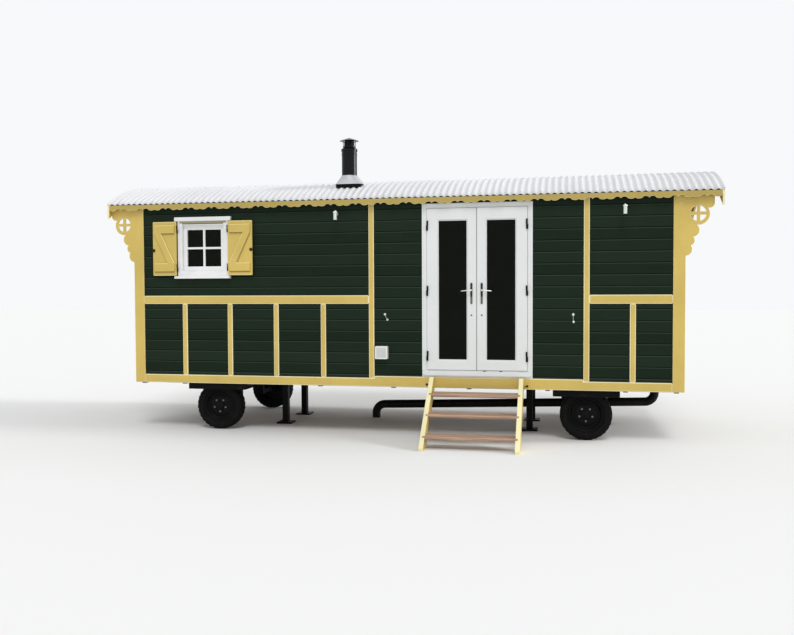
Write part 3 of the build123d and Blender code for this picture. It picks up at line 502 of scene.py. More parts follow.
def rounded(low, high, radius, steps=6):
    """The outline of a rectangle with round corners, as points across and up."""
    outline = []
    corners = ((high[0], high[1], 0), (low[0], high[1], 90), (low[0], low[1], 180), (high[0], low[1], 270))
    for across, up, start in corners:
        middle_x = across - radius if across == high[0] else across + radius
        middle_z = up - radius if up == high[1] else up + radius
        for step in range(steps + 1):
            turn = radians(start + 90 * step / steps)
            outline.append((middle_x + radius * cos(turn), middle_z + radius * sin(turn)))
    return outline


class Shape:
    """Gathers closed solids in one mesh: boards, outlines drawn out, turned parts and bent rods."""

    def __init__(self):
        self.work = bmesh.new()

    def skin(self, rings, ring=False):
        following = rings[1:] + rings[:1] if ring else rings[1:]
        for first, second in zip(rings, following):
            count = max(len(first), len(second))
            for place in range(count):
                after = (place + 1) % count
                corners = [first[place % len(first)], first[after % len(first)]]
                corners += [second[after % len(second)], second[place % len(second)]]
                self.work.faces.new(list(dict.fromkeys(corners)))

    def prism(self, outline, start, end):
        """An outline of points across and up, drawn out from start to end along Y."""
        rings = []
        for distance in (start, end):
            rings.append([self.work.verts.new((across, distance, up)) for across, up in outline])
        self.skin(rings)
        for ring in rings:
            self.work.faces.new(ring)
        return self

    def board(self, low, high):
        outline = [(low[0], low[2]), (high[0], low[2]), (high[0], high[2]), (low[0], high[2])]
        return self.prism(outline, low[1], high[1])

    def turned(self, profile, centre, axis="y", steps=48, ring=False, start=0.0, notch=None):
        """A profile of radius and distance turned round an axis; a radius of 0 closes to one point."""
        rings = []
        for radius, distance in profile:
            verts = []
            for place in range(steps if radius > 0 else 1):
                reach = notch(place, radius, distance) if notch else radius
                turn = radians(start) + tau * place / steps
                across, other = reach * cos(turn), reach * sin(turn)
                offset = (across, distance, other) if axis == "y" else (across, other, distance)
                verts.append(self.work.verts.new(Vector(centre) + Vector(offset)))
            rings.append(verts)
        self.skin(rings, ring)
        return self

    def rod(self, path, radii, steps=12):
        """A round rod along a path of points, with a radius at each."""
        points = [Vector(point) for point in path]
        side = (points[1] - points[0]).orthogonal()
        rings = []
        for place, point in enumerate(points):
            ahead = (points[min(place + 1, len(points) - 1)] - points[max(place - 1, 0)]).normalized()
            side = (side - ahead * side.dot(ahead)).normalized()
            lift = ahead.cross(side)
            ring = []
            for step in range(steps):
                turn = tau * step / steps
                offset = (side * cos(turn) + lift * sin(turn)) * radii[place]
                ring.append(self.work.verts.new(point + offset))
            rings.append(ring)
        self.skin(rings)
        self.work.faces.new(rings[0])
        self.work.faces.new(rings[-1])
        return self

    def piece(self, name, body, slot, *materials, width=0.0, segments=2):
        """Make it a piece; a width eases its edges, and without one only sharp edges stay sharp."""
        mesh = mesh_of(self.work, name)
        made = link(mesh, name)
        for material in materials:
            mesh.materials.append(material)
        for face in mesh.polygons:
            face.use_smooth = True
        if width:
            ease(made, width, segments)
        else:
            mesh.set_sharp_from_angle(angle=radians(35))
        if body:
            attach(made, body)
        return made


# CAD nodes that keep their shape: their slot, materials, width and steps of the eased edges, and names
# in each ochre row the last, paler ochre is painted highlight on the eased edges
upright_ochre = [ochre_upright, ochre_edge]
shown = {}
for slot, materials, width, segments, names in (
    # the valances' darker ochre is painted shade
    ("ochre_paint", [ochre_valance, ochre_edge], 0.003, 1, ("valances",)),
    ("ochre_paint", [ochre_cross, ochre_edge], 0.0015, 2, ("end_fascias",)),
    ("ochre_paint", upright_ochre, 0.005, 1, ("front_corner_boards", "rear_corner_boards")),
    ("ochre_paint", [ochre_level, ochre_edge], 0.009, 1, ("skirt_boards", "mid_rails")),
    ("ochre_paint", upright_ochre, 0.009, 1, ("front_battens", "rear_battens", "end_battens")),
    ("white_paint", [white_timber], 0.004, 2, ("window_frame",)),
    ("white_paint", [white_timber], 0.005, 2, ("window_casement",)),
    ("white_door", [white_door], 0.002, 2, ("door_frame", "left_door", "right_door")),
    ("pale_yellow_paint", [yellow_stringer, ochre_upright], 0.003, 2, ("step_stringers",)),
    ("oiled_timber", [tread_timber], 0.003, 2, ("step_treads",)),
    ("black_steel", [black_hinge], 0.0004, 2, ("shutter_pintles",)),
    ("black_steel", [black_hinge], 0.0006, 2, ("frame_hinges", "left_door_hinges", "right_door_hinges")),
    ("black_flue", [black_flue], 0.001, 2, ("flue_cowl",)),
    ("flashing_metal", [flashing_metal], 0.002, 2, ("flue_flashing",)),
    ("black_steel", [chassis_black], 0.003, 2, ("chassis_rails", "stub_axles")),
    ("black_steel", [chassis_black], 0.001, 2, ("mudguards",)),
    ("black_steel", [black_steel], 0.002, 2, ("prop_legs",)),
    ("black_pipe", [black_pipe], 0.002, 2, ("waste_pipe",)),
):
    for node in names:
        shown[node] = dress(node, materials, width, segments)
# painted highlight on the fascias' end faces
repaint(shown["end_fascias"], 1, lambda face: abs(face.normal.y) > 0.9)
repaint(shown["step_stringers"], 0, lambda face: abs(face.normal.x) < 0.9)
repaint(shown["step_stringers"], 1, lambda face: abs(face.normal.x) > 0.9)

# The flashing's foot is a kerb painted black, partly the dark kerb itself and partly painted shade under
# the flashing's edge
kerb_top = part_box("flue_flashing")[1].z - 0.118
shown["flue_flashing"].data.materials.append(black_steel)
repaint(shown["flue_flashing"], 1, lambda face: face.center.z < kerb_top)

front_walls = ("front_wall_left", "front_wall_right", "front_wall_over_door")
for node in (*front_walls, "rear_wall", "left_end_wall", "right_end_wall"):
    paint_node(node, wall_inside_out)
paint_node("roof_deck", deck_timber)
paint_node("floor", floor_timber)
paint_node("floor_bearers", bearer_timber)
for node in ("window_glass", "left_door_glass", "right_door_glass"):
    paint_node(node, pane_glass)


# Geometry Nodes trees
def tree(name, **inputs):
    """A tree with inputs, named by kind; returns its graph and its inputs as wires."""
    group = bpy.data.node_groups.new(name, "GeometryNodeTree")
    group.interface.new_socket("Geometry", in_out="INPUT", socket_type="NodeSocketGeometry")
    for kind, labels in inputs.items():
        for label in labels.split(", "):
            group.interface.new_socket(label, in_out="INPUT", socket_type="NodeSocket" + kind)
    group.interface.new_socket("Geometry", in_out="OUTPUT", socket_type="NodeSocketGeometry")
    source = group.nodes.new("NodeGroupInput")
    graph = Graph(group)
    return graph, {socket.name: Wire(graph, socket) for socket in source.outputs if socket.name}


def finish_tree(graph, geometry, material):
    """End a tree in Realize Instances and Set Material."""
    real = graph.node("GeometryNodeRealizeInstances", None, (geometry,))
    painted = graph.node("GeometryNodeSetMaterial", None, {"Geometry": real, "Material": material})
    end = graph.tree.nodes.new("NodeGroupOutput")
    graph.tree.links.new(painted.socket, end.inputs[0])


def scatter(graph, given, label, points, **more):
    """Put the object that an input names on points, and end the tree there."""
    unit = graph.node("GeometryNodeObjectInfo", None, {"Object": given[label]}, "Geometry")
    placing = {"Points": points, "Instance": unit, **more}
    finish_tree(graph, graph.node("GeometryNodeInstanceOnPoints", None, placing), given["Finish"])


def grow(name, group, **values):
    """Run a tree with its inputs on an empty mesh and return the plain result."""
    piece = link(bpy.data.meshes.new(name), name)
    modifier = piece.modifiers.new(name, "NODES")
    modifier.node_group = group
    for item in group.interface.items_tree:
        if item.in_out == "INPUT" and item.name.replace(" ", "_") in values:
            modifier[item.identifier] = values[item.name.replace(" ", "_")]
    return made_plain(piece)


# Corrugated sheet: a grid bent over the roof's arc, with waves that follow each other along the hut
roof_half = (roof_high.y - roof_low.y) / 2
roof_mid_y = (roof_high.y + roof_low.y) / 2
roof_radius = 2.47
roof_axis = roof_high.z - roof_radius
roof_centre = {"Centre_X": (roof_low.x + roof_high.x) / 2, "Centre_Y": roof_mid_y, "Centre_Z": roof_axis}
roof_half_angle = asin(roof_half / roof_radius)
wave_depth = 0.0166
waves_per_sheet = 12.0
sheet_lap = 0.0008
sheet_gauge = 0.0014


def roof_grid(graph, columns, rows):
    """A flat grid, 1 wide across and 2 deep, that is bent to the roof later."""
    size = {"Size X": 1.0, "Size Y": 2.0, "Vertices X": columns, "Vertices Y": rows}
    return graph.node("GeometryNodeMeshGrid", None, size)


def on_arc(graph, given, across, along, radius):
    """Where a point of the grid lies on the roof's arc, at a radius."""
    angle = along * given["Half angle"]
    return graph.join(
        across * given["Length"] + given["Centre X"],
        graph.math("SINE", angle) * radius + given["Centre Y"],
        graph.math("COSINE", angle) * radius + given["Centre Z"],
    )


waves, given = tree(
    "corrugated_roof", Int="Waves", Material="Finish",
    Float="Length, Radius, Half angle, Depth, Waves per sheet, Lap, Centre X, Centre Y, Centre Z",
)
grid = roof_grid(waves, given["Waves"] * 8 + 1, 25)
across, along, _ = waves.parts(waves.node("GeometryNodeInputPosition"))
share = across + 0.5
turn = share * given["Waves"]
wave = waves.math("COSINE", turn * tau)
lap = waves.math("FRACT", turn / given["Waves per sheet"] + 0.46)
radius = given["Radius"] - given["Depth"] * 0.5 * (1.0 - wave) + (lap - 1.0) * given["Lap"]
bent = on_arc(waves, given, across, along, radius)
moved = waves.node("GeometryNodeSetPosition", None, {"Geometry": grid, "Position": bent})
smooth = waves.node("GeometryNodeSetShadeSmooth", None, {"Geometry": moved})
finish_tree(waves, smooth, given["Finish"])

corrugated = grow(
    "corrugated_sheet", waves.tree, Length=roof_length, Radius=roof_radius,
    Half_angle=roof_half_angle, Waves=wave_count, Depth=wave_depth,
    Waves_per_sheet=waves_per_sheet, Lap=sheet_lap, Finish=roof_coating, **roof_centre,
)
gauge = corrugated.modifiers.new("gauge", "SOLIDIFY")
gauge.thickness = sheet_gauge
gauge.offset = -1
made_plain(corrugated)
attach(corrugated, "hut")
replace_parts(corrugated, "roof_sheet")

# Screws: each a hex head over a domed washer, standing on a wave's crest
screws, given = tree(
    "roof_screws", Object="Screw", Int="Rows, Columns", Material="Finish",
    Float="Length, Radius, Half angle, Centre X, Centre Y, Centre Z",
)
spots = roof_grid(screws, given["Columns"], given["Rows"])
across, along, _ = screws.parts(screws.node("GeometryNodeInputPosition"))
on_crest = on_arc(screws, given, across, along, given["Radius"])
spots = screws.node("GeometryNodeSetPosition", None, {"Geometry": spots, "Position": on_crest})
_, there_y, there_z = screws.parts(screws.node("GeometryNodeInputPosition"))
lean = screws.math("ARCTAN2", there_y - given["Centre Y"], there_z - given["Centre Z"])
scatter(screws, given, "Screw", spots, Rotation=screws.join(lean * -1.0, 0.0, 0.0))

washer = [(0.0, 0.0), (0.0095, 0.0), (0.0095, 0.0008), (0.006, 0.003), (0.0, 0.003)]
head = [(0.0, 0.0026), (0.0052, 0.0026), (0.0052, 0.0068), (0.0042, 0.0076), (0.0, 0.0076)]
screw = Shape().turned(washer, (0, 0, 0), "z", 12).turned(head, (0, 0, 0), "z", 6)
screw_unit = screw.piece("roofing_screw", None, None, zinc)
roof_screws = grow(
    "roof_screws", screws.tree, Screw=screw_unit, Rows=5, Columns=32, Length=roof_length * 93 / wave_count,
    Radius=roof_radius - 0.0016, Half_angle=roof_half_angle * 0.965, Finish=zinc, **roof_centre,
)
bpy.data.objects.remove(screw_unit)
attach(roof_screws, "hut")


# Shiplap: one board repeated up each wall and cut to the wall's outline
def board_mesh(length):
    """A shiplap board along X, its face towards -Y, with a scooped top."""
    top = board_cover - 0.0002
    profile = [
        (0.006, 0.0), (-0.0062, 0.0), (-0.007, 0.0008), (-0.007, 0.115), (-0.0055, 0.118),
        (-0.0034, 0.1215), (-0.0016, 0.1265), (-0.0008, top), (0.006, top),
    ]
    work = bmesh.new()
    ends = [[work.verts.new((x, y, z)) for y, z in profile] for x in (-length / 2, length / 2)]
    count = len(profile)
    for place in range(count):
        after = (place + 1) % count
        work.faces.new((ends[0][place], ends[0][after], ends[1][after], ends[1][place]))
    work.faces.new(ends[0][::-1])
    work.faces.new(ends[1])
    return mesh_of(work, "shiplap_board")


stack, given = tree("shiplap_stack", Object="Board", Int="Count", Float="Cover", Material="Finish")
rows = {"Count": given["Count"], "Offset": stack.join(0.0, 0.0, given["Cover"])}
scatter(stack, given, "Board", stack.node("GeometryNodeMeshLine", {"mode": "OFFSET"}, rows))


def clad(node, turn, material):
    """Boards on the outside of a wall, which faces -Y once turned back."""
    low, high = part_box(node)
    spun = Matrix.Rotation(radians(turn), 4, "Z")
    outward = spun @ Vector((0, -1, 0))
    middle = (low + high) / 2
    face = middle + Vector([outward[axis] * (high - low)[axis] / 2 for axis in range(3)])
    length = max(abs((high - low).x * outward.y), abs((high - low).y * outward.x)) + 0.2
    unit = link(board_mesh(length), "board_unit")
    count = ceil((high.z - clad_start) / board_cover) + 1
    boards = grow(node + "_boards", stack.tree, Board=unit, Count=count, Cover=board_cover, Finish=material)
    boards.data.transform(Matrix.Translation((face.x, face.y, clad_start)) @ spun)
    bpy.data.objects.remove(unit)
    cutter = merged(node, "cutter")
    cutter.data.transform(Matrix.Translation(outward * 0.05))
    cut = boards.modifiers.new("outline", "BOOLEAN")
    cut.operation = "INTERSECT"
    cut.solver = "EXACT"
    cut.object = cutter
    made_plain(boards)
    bpy.data.objects.remove(cutter)
    boards.data.materials.clear()
    boards.data.materials.append(material)
    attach(boards, "hut")


for node in front_walls:
    clad(node, 0, clad_long)
clad("rear_wall", 180, clad_long)
clad("left_end_wall", 270, clad_end_boards)
clad("right_end_wall", 90, clad_end_boards)


# Doors: outer strip of the frame, seals, handles and keyholes
door_low, door_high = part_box("door_frame")
leaf_low, leaf_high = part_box("left_door")
other_low, other_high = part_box("right_door")
leaf_face = leaf_low.y
wall_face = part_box("front_wall_left")[0].y
frame_face = wall_face - 0.01
strip_width = 0.018
strip_proud = 0.004
strip_foot = 0.8

left_inner, right_inner = door_low.x + strip_width, door_high.x - strip_width
frame_strip = Shape()
for left, right, foot in (
    (door_low.x, left_inner, strip_foot),
    (right_inner, door_high.x, strip_foot),
    (left_inner, right_inner, door_high.z - strip_width),
):
    frame_strip.board((left, frame_face - strip_proud, foot), (right, frame_face, door_high.z))
frame_strip.piece("door_frame_strip", "hut", "white_door", white_door, width=0.001)

frame_seal = Shape()
for left, right, foot, head in (
    (leaf_low.x - 0.005, leaf_low.x - 0.001, leaf_low.z, leaf_high.z),
    (other_high.x + 0.001, other_high.x + 0.005, leaf_low.z, leaf_high.z),
    (leaf_low.x, other_high.x, leaf_high.z + 0.001, leaf_high.z + 0.005),
):
    frame_seal.board((left, leaf_face + 0.01, foot), (right, leaf_face + 0.045, head))
frame_seal.piece("door_frame_seal", "hut", "white_door", seal_rubber, width=0.0006, segments=1)

meeting_seal = Shape().board(
    (leaf_high.x, leaf_face + 0.006, leaf_low.z + 0.004),
    (leaf_high.x + 0.007, leaf_face + 0.026, leaf_high.z - 0.004),
)
meeting_seal.piece("door_meeting_seal", "left_door", "white_door", seal_rubber, width=0.0006, segments=1)

plate_low, plate_high = 1.58, 1.828
plate_width = 0.025
lever_height = 1.741
keyhole_height = 1.451
# Points along a lever, across, outward and downward, with its radius at each
lever_path = (
    (0.0, 0.012, 0.0, 0.0078), (0.0, 0.026, 0.0, 0.0078), (0.002, 0.0315, 0.0, 0.0078),
    (0.0065, 0.0355, 0.0003, 0.0078), (0.013, 0.037, 0.0008, 0.0076), (0.04, 0.037, 0.002, 0.0072),
    (0.075, 0.0365, 0.004, 0.0068), (0.105, 0.036, 0.007, 0.0064), (0.115, 0.0358, 0.0085, 0.0052),
    (0.119, 0.0356, 0.0095, 0.0024),
)
lever_neck = ((0.0, 0.0), (0.0105, 0.0), (0.0105, 0.012), (0.0075, 0.014), (0.0, 0.014))
keyhole_profile = (
    (0.0, 0.0), (0.0105, 0.0), (0.0105, -0.0022), (0.0085, -0.0035), (0.004, -0.0035), (0.0034, -0.0012),
    (0.0, -0.0012),
)


def door_handles(door, centre, reach):
    """Lever handles on narrow plates, outside and inside; reach is the way that the levers point."""
    outside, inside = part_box(door)[0].y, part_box(door)[1].y
    plates, feet, levers = Shape(), Shape(), Shape()
    half = plate_width / 2
    for face, outward in ((outside, -1), (inside, 1)):
        outline = rounded((centre - half, plate_low + 0.083), (centre + half, plate_high), half - 0.0005)
        plates.prism(outline, face, face + outward * 0.008)
        outline = rounded((centre - half, plate_low), (centre + half, plate_low + 0.09), half - 0.0005)
        feet.prism(outline, face, face + outward * 0.0065)
        neck = [(radius, outward * depth) for radius, depth in lever_neck]
        levers.turned(neck, (centre, face + 0.0075 * outward, lever_height), "y", 24)
        path = []
        for across, depth, drop, _ in lever_path:
            path.append((centre + reach * across, face + outward * depth, lever_height - drop))
        levers.rod(path, [point[3] for point in lever_path], 16)
    side = door.split("_")[0]
    made = plates.piece(side + "_handle_plates", door, "handle_metal", dark_chrome, width=0.001)
    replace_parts(made, door + "_handles")
    feet.piece(side + "_cylinder_covers", door, "handle_metal", worn_nut, width=0.001)
    levers.piece(side + "_levers", door, "handle_metal", handle_metal)
    keyhole = Shape().turned(keyhole_profile, (centre, outside, keyhole_height), "y", 24)
    keyhole.piece(side + "_keyhole", door, "handle_metal", worn_nut)


handle_setback = 0.055
door_handles("left_door", leaf_high.x - handle_setback, -1)
door_handles("right_door", other_low.x + handle_setback, 1)

drain_low, drain_high = 0.7935, 0.8005
drains = Shape()
for middle in (1.0666, 1.2558):
    outline = rounded((middle - 0.016, drain_low), (middle + 0.016, drain_high), 0.003, 3)
    drains.prism(outline, frame_face, frame_face - 0.003)
drains.piece("sill_drain_caps", "hut", "white_door", dark_chrome)

# Shutters: board, ledges and brace with chamfered edges in painted highlight and painted shade, hinge
# leaves and catches
hinge_place = {joint["child"]: joint["pos_m"] for joint in frame["joints"]}
board_thick = 0.02
ledge_width = 0.11
ledge_drop = 0.043
ledge_inset = 0.022
brace_width = 0.1
catch_height = 2.252
catch_profile = (
    (0.0, 0.0), (0.0205, 0.0), (0.0205, -0.005), (0.018, -0.009), (0.012, -0.0105), (0.01, -0.007),
    (0.0, -0.007),
)


def dressed_shutter(node, side):
    """A ledged and braced shutter; side is the way from its hinges to its free edge."""
    low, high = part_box(node)
    back = high.y
    axis_x = hinge_place[node][0]
    hinge_edge = axis_x + side * 0.007
    free_edge = low.x if side < 0 else high.x
    left, right = sorted((hinge_edge, free_edge))
    ledge_face, board_face = low.y, back - board_thick
    leaf = Shape().board((left, board_face, low.z), (right, back, high.z))
    lower, upper = low.z + ledge_drop, high.z - ledge_drop - ledge_width
    free, inner = free_edge - side * ledge_inset, hinge_edge + side * ledge_inset
    lower_top, upper_top = lower + ledge_width, upper + ledge_width
    outline = [
        (free, upper_top), (inner, upper_top), (inner, upper), (free - side * brace_width, upper),
        (inner, lower_top), (inner, lower), (free, lower), (free, lower_top),
        (inner + side * brace_width, lower_top), (free, upper),
    ]
    leaf.prism(outline, ledge_face, board_face)
    made = leaf.piece(
        node + "_boards", node, "ochre_paint", ochre_upright, ochre_under, ochre_shaded, ochre_rim,
        width=0.008, segments=1,
    )
    # chamfers facing down take painted shade, darkest on the undersides; those facing up keep the painted
    # highlight
    for index, below, above in ((1, -2.0, -0.5), (2, -0.5, -0.15), (0, -0.15, 0.15)):
        repaint(made, index, lambda face: (
            face.material_index == 3 and low.z + 0.012 < face.center.z < high.z - 0.012
            and below <= face.normal.z < above
        ))
    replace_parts(made, node)

    hinges = Shape()
    axis_y = (back + ledge_face) / 2
    for height in (low.z + 0.097, high.z - 0.097):
        barrel = [(0.0028, 0.0), (0.005, 0.0), (0.005, 0.046), (0.0028, 0.046)]
        hinges.turned(barrel, (axis_x, axis_y, height), "z", 20, True)
        plate = sorted((axis_x + side * 0.004, hinge_edge))
        hinges.board((plate[0], axis_y - 0.002, height), (plate[1], axis_y + 0.002, height + 0.046))
    hinges.piece(node + "_hinge_leaves", node, "black_steel", black_hinge, width=0.0003, segments=1)

    catch = Shape().turned(catch_profile, (free_edge - side * 0.015, board_face, catch_height), "y", 28)
    catch.piece(node + "_catch", node, "black_steel", catch_iron)


dressed_shutter("left_shutter", -1)
dressed_shutter("right_shutter", 1)


# Wheels: pressed steel centres in a rim, each with a ribbed tyre and five nuts
rim_profile = [
    (0.0, 0.02), (0.046, 0.02), (0.052, 0.023), (0.055, 0.028), (0.056, 0.04), (0.062, 0.042),
    (0.112, 0.042), (0.12, 0.046), (0.14, 0.06), (0.158, 0.062), (0.168, 0.055), (0.176, 0.04),
    (0.18, 0.031), (0.186, 0.027), (0.196, 0.024), (0.199, 0.026), (0.198, 0.03), (0.19, 0.033),
    (0.187, 0.045), (0.186, 0.085), (0.187, 0.125), (0.19, 0.137), (0.198, 0.14), (0.199, 0.144),
    (0.196, 0.146), (0.184, 0.143), (0.18, 0.137), (0.179, 0.07), (0.172, 0.068), (0.15, 0.07),
    (0.118, 0.052), (0.06, 0.05), (0.055, 0.06), (0.055, 0.115), (0.0203, 0.115), (0.0203, 0.0395),
    (0.0, 0.0395),
]
tyre_half_profile = [
    (0.1905, 0.034), (0.199, 0.0315), (0.204, 0.024), (0.212, 0.014), (0.214, 0.0115), (0.216, 0.0115),
    (0.218, 0.009), (0.23, 0.004), (0.245, 0.002), (0.26, 0.003), (0.2665, 0.004), (0.2675, 0.0058),
    (0.2695, 0.0058), (0.271, 0.0048), (0.282, 0.009), (0.29, 0.015), (0.2955, 0.0215), (0.298, 0.027),
    (0.2985, 0.046), (0.293, 0.047), (0.293, 0.052), (0.2985, 0.053), (0.2985, 0.081), (0.293, 0.082),
]
tyre_across = 0.17
tyre_far_profile = [(radius, tyre_across - depth) for radius, depth in reversed(tyre_half_profile)]
tyre_profile = tyre_half_profile + tyre_far_profile
tyre_steps = 120
nut_circle = 0.077


def shoulder_notch(place, radius, distance):
    """Cross grooves in the tyre's shoulders, one every fourth step."""
    at_shoulder = radius > 0.2885 and abs(abs(distance) - tyre_across / 2) > 0.0385
    return radius - 0.0065 if at_shoulder and place % 4 == 3 else radius


ring, given = tree("nut_ring", Object="Nut", Int="Count", Float="Radius, Turn", Material="Finish")
circle = ring.node("GeometryNodeMeshCircle", None, {"Vertices": given["Count"], "Radius": given["Radius"]})
rotation = ring.join(0.0, 0.0, given["Turn"])
turned_circle = ring.node("GeometryNodeTransform", None, {"Geometry": circle, "Rotation": rotation})
scatter(ring, given, "Nut", turned_circle)

nut_profile = ((0.0, 0.0), (0.013, 0.0), (0.013, 0.0115), (0.0105, 0.014), (0.005, 0.014), (0.0, 0.0125))
nut_unit = Shape().turned(nut_profile, (0, 0, 0), "z", 6).piece("wheel_nut", None, None, worn_nut)

for corner in ("front_left", "front_right", "rear_left", "rear_right"):
    low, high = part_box(corner + "_tyre")
    body = corner + "_road_wheel"
    inward = 1 if corner.startswith("front") else -1
    outer = low.y if inward > 0 else high.y
    hub = ((low.x + high.x) / 2, outer, (low.z + high.z) / 2)
    rim = Shape().turned([(radius, inward * depth) for radius, depth in rim_profile], hub, "y", 72)
    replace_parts(rim.piece(corner + "_rim", body, "black_steel", black_steel), corner + "_wheel")
    tread = [(radius, inward * depth) for radius, depth in tyre_profile]
    tyre = Shape().turned(tread, hub, "y", tyre_steps, True, 1.5, shoulder_notch)
    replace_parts(tyre.piece(corner + "_ribbed_tyre", body, "tyre_rubber", tyre_rubber), corner + "_tyre")
    nuts = grow(
        corner + "_nuts", ring.tree, Nut=nut_unit, Count=5, Radius=nut_circle, Turn=-inward * pi / 2,
        Finish=worn_nut,
    )
    facing = Matrix.Rotation(radians(90 * inward), 4, "X")
    nuts.data.transform(Matrix.Translation((hub[0], outer + inward * 0.0415, hub[2])) @ facing)
    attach(nuts, body)
bpy.data.objects.remove(nut_unit)

# Outlet box: a white frame round a greyer hinged lid with a faint boss
box_low, box_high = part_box("outlet_box")
box_left, box_right = box_low.x + 0.006, box_high.x - 0.008
box_foot, box_head = box_low.z + 0.003, box_high.z - 0.013
case_outline = rounded((box_left, box_foot), (box_right, box_head), 0.01)
case = Shape().prism(case_outline, box_low.y, box_high.y)
outlet_case = case.piece("outlet_case", "hut", "white_plastic", white_plastic, width=0.003, segments=3)
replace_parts(outlet_case, "outlet_box")
lid_margin = 0.017
lid_outline = rounded(
    (box_left + lid_margin, box_foot + lid_margin), (box_right - lid_margin, box_head - lid_margin), 0.008
)
lid = Shape().prism(lid_outline, box_low.y + 0.002, box_low.y - 0.0025)
box_middle = ((box_left + box_right) / 2, box_low.y - 0.002, (box_foot + box_head) / 2)
boss = (
    (0.0, 0.0), (0.036, 0.0), (0.036, -0.0014), (0.033, -0.0028), (0.028, -0.0028), (0.026, -0.0014),
    (0.0, -0.0014),
)
lid.turned(boss, box_middle, "y", 40)
lid.piece("outlet_lid", "hut", "white_plastic", lid_plastic, width=0.0006)

# Wall lights: a tube under a domed cap, hung from a swan neck, with a lens in its foot
lamp_low, lamp_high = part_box("wall_lights")
boards_face = wall_face - 0.007
tube_profile = [
    (0.0, 0.0), (0.019, 0.0), (0.0225, 0.002), (0.023, 0.006), (0.0215, 0.008), (0.0215, 0.08),
    (0.0255, 0.083), (0.0265, 0.088), (0.026, 0.094), (0.0225, 0.1), (0.014, 0.1035), (0.0, 0.1045),
]
neck_arc = [
    (0.0, 0.098), (0.006, 0.106), (0.022, 0.1085), (0.042, 0.108), (0.062, 0.103), (0.08, 0.094),
    (0.096, 0.08),
]
lamps, plates, lenses = Shape(), Shape(), Shape()
for middle_x in (lamp_low.x + 0.024, lamp_high.x - 0.024):
    foot = (middle_x, lamp_low.y + 0.022, lamp_low.z)
    lamps.turned(tube_profile, foot, "z", 32)
    path = [(middle_x, foot[1] + depth, foot[2] + rise) for depth, rise in neck_arc]
    path += [(middle_x, boards_face - 0.008, foot[2] + 0.071), (middle_x, boards_face, foot[2] + 0.07)]
    lamps.rod(path, (0.012, 0.0105, 0.0095, 0.009, 0.0085, 0.0085, 0.0085, 0.0085, 0.0085), 16)
    rose = [(0.0, 0.0), (0.019, 0.0), (0.019, -0.003), (0.016, -0.005), (0.0, -0.005)]
    plates.turned(rose, (middle_x, boards_face + 0.0005, foot[2] + 0.07), "y", 28)
    lenses.turned([(0.0, 0.0), (0.018, 0.0), (0.017, -0.0015), (0.0, -0.003)], foot, "z", 28)
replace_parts(lamps.piece("wall_light_tubes", "hut", "light_steel", lamp_steel), "wall_lights")
plates.piece("wall_light_roses", "hut", "light_steel", dark_chrome)
lenses.piece("wall_light_lenses", "hut", "light_steel", dark_chrome)

# Window: a strip of painted shade over the casement, with a dark painted shadow line under it
casement_low, casement_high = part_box("window_casement")
frame_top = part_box("window_frame")[1].z
casing_face = wall_face - 0.025
Shape().board(
    (casement_low.x - 0.034, casing_face - 0.0016, casement_high.z + 0.024),
    (casement_high.x + 0.034, casing_face, frame_top - 0.051),
).piece("window_head_strip", "hut", "white_paint", weathered_white, width=0.0005, segments=1)
Shape().board(
    (casement_low.x + 0.002, casing_face - 0.003, casement_high.z + 0.012),
    (casement_high.x - 0.002, casing_face, casement_high.z + 0.024),
).piece("window_drip_strip", "hut", "white_paint", drip_brown, width=0.0008, segments=1)

# Black filler strips in the hollows between the valances and the sheet's edge, partly eaves closure and
# partly painted shade
valance_low, valance_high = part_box("valances")
filler_steps = wave_count * 8
half_across = valance_high.y - roof_mid_y
filler_left, filler_right = valance_low.x + 0.004, valance_high.x - 0.004
filler_foot = valance_high.z - 0.022
strip_outline = [(filler_right, filler_foot), (filler_left, filler_foot)]
for step in range(filler_steps + 1):
    place_x = roof_low.x + roof_length * step / filler_steps
    wave_drop = wave_depth * 0.5 * (1 - cos(tau * step / 8))
    underside = roof_radius - wave_drop - sheet_gauge - sheet_lap * 0.5
    if filler_left < place_x < filler_right:
        strip_outline.append((place_x, roof_axis + sqrt(underside ** 2 - half_across ** 2)))
fillers = Shape()
for face, inward in ((valance_low.y, 1), (valance_high.y, -1)):
    fillers.prism(strip_outline, *sorted((face + inward * 0.0006, face + inward * 0.008)))
fillers.piece("eaves_filler_strips", "hut", "roof_steel", filler_black)

# Flue: a tube with a raised band round its top, and the liner that ends under the cowl
pipe_low, pipe_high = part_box("flue_pipe")
pipe_middle = (pipe_low + pipe_high) / 2
pipe_profile = [
    (0.095, 3.06), (0.095, 3.418), (0.0965, 3.4195), (0.0972, 3.424), (0.0972, 3.444), (0.0965, 3.4485),
    (0.095, 3.45), (0.095, pipe_high.z), (0.091, pipe_high.z), (0.091, 3.06),
]
pipe = Shape().turned(pipe_profile, (pipe_middle.x, pipe_middle.y, 0.0), "z", 144, True)
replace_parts(pipe.piece("flue_tube", "hut", "black_flue", black_flue), "flue_pipe")

cowl_low, cowl_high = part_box("flue_cowl")
cowl_middle = (cowl_low + cowl_high) / 2
liner_profile = [
    (0.0, cowl_low.z - 0.06), (0.064, cowl_low.z - 0.06), (0.064, cowl_high.z - 0.052),
    (0.052, cowl_high.z - 0.046), (0.052, cowl_high.z - 0.034), (0.0, cowl_high.z - 0.034),
]
liner = Shape().turned(liner_profile, (cowl_middle.x, cowl_middle.y, 0.0), "z", 40)
liner.piece("flue_liner", "hut", "black_flue", chassis_black)

# Hooks that hold the open doors back, and the bolts and links that hold the steps
upper_rose = ((0.0, 0.0), (0.014, 0.0), (0.014, -0.002), (0.011, -0.0035), (0.0, -0.0035))
lower_rose = ((0.0, 0.0), (0.012, 0.0), (0.012, -0.002), (0.0095, -0.0035), (0.0, -0.0035))
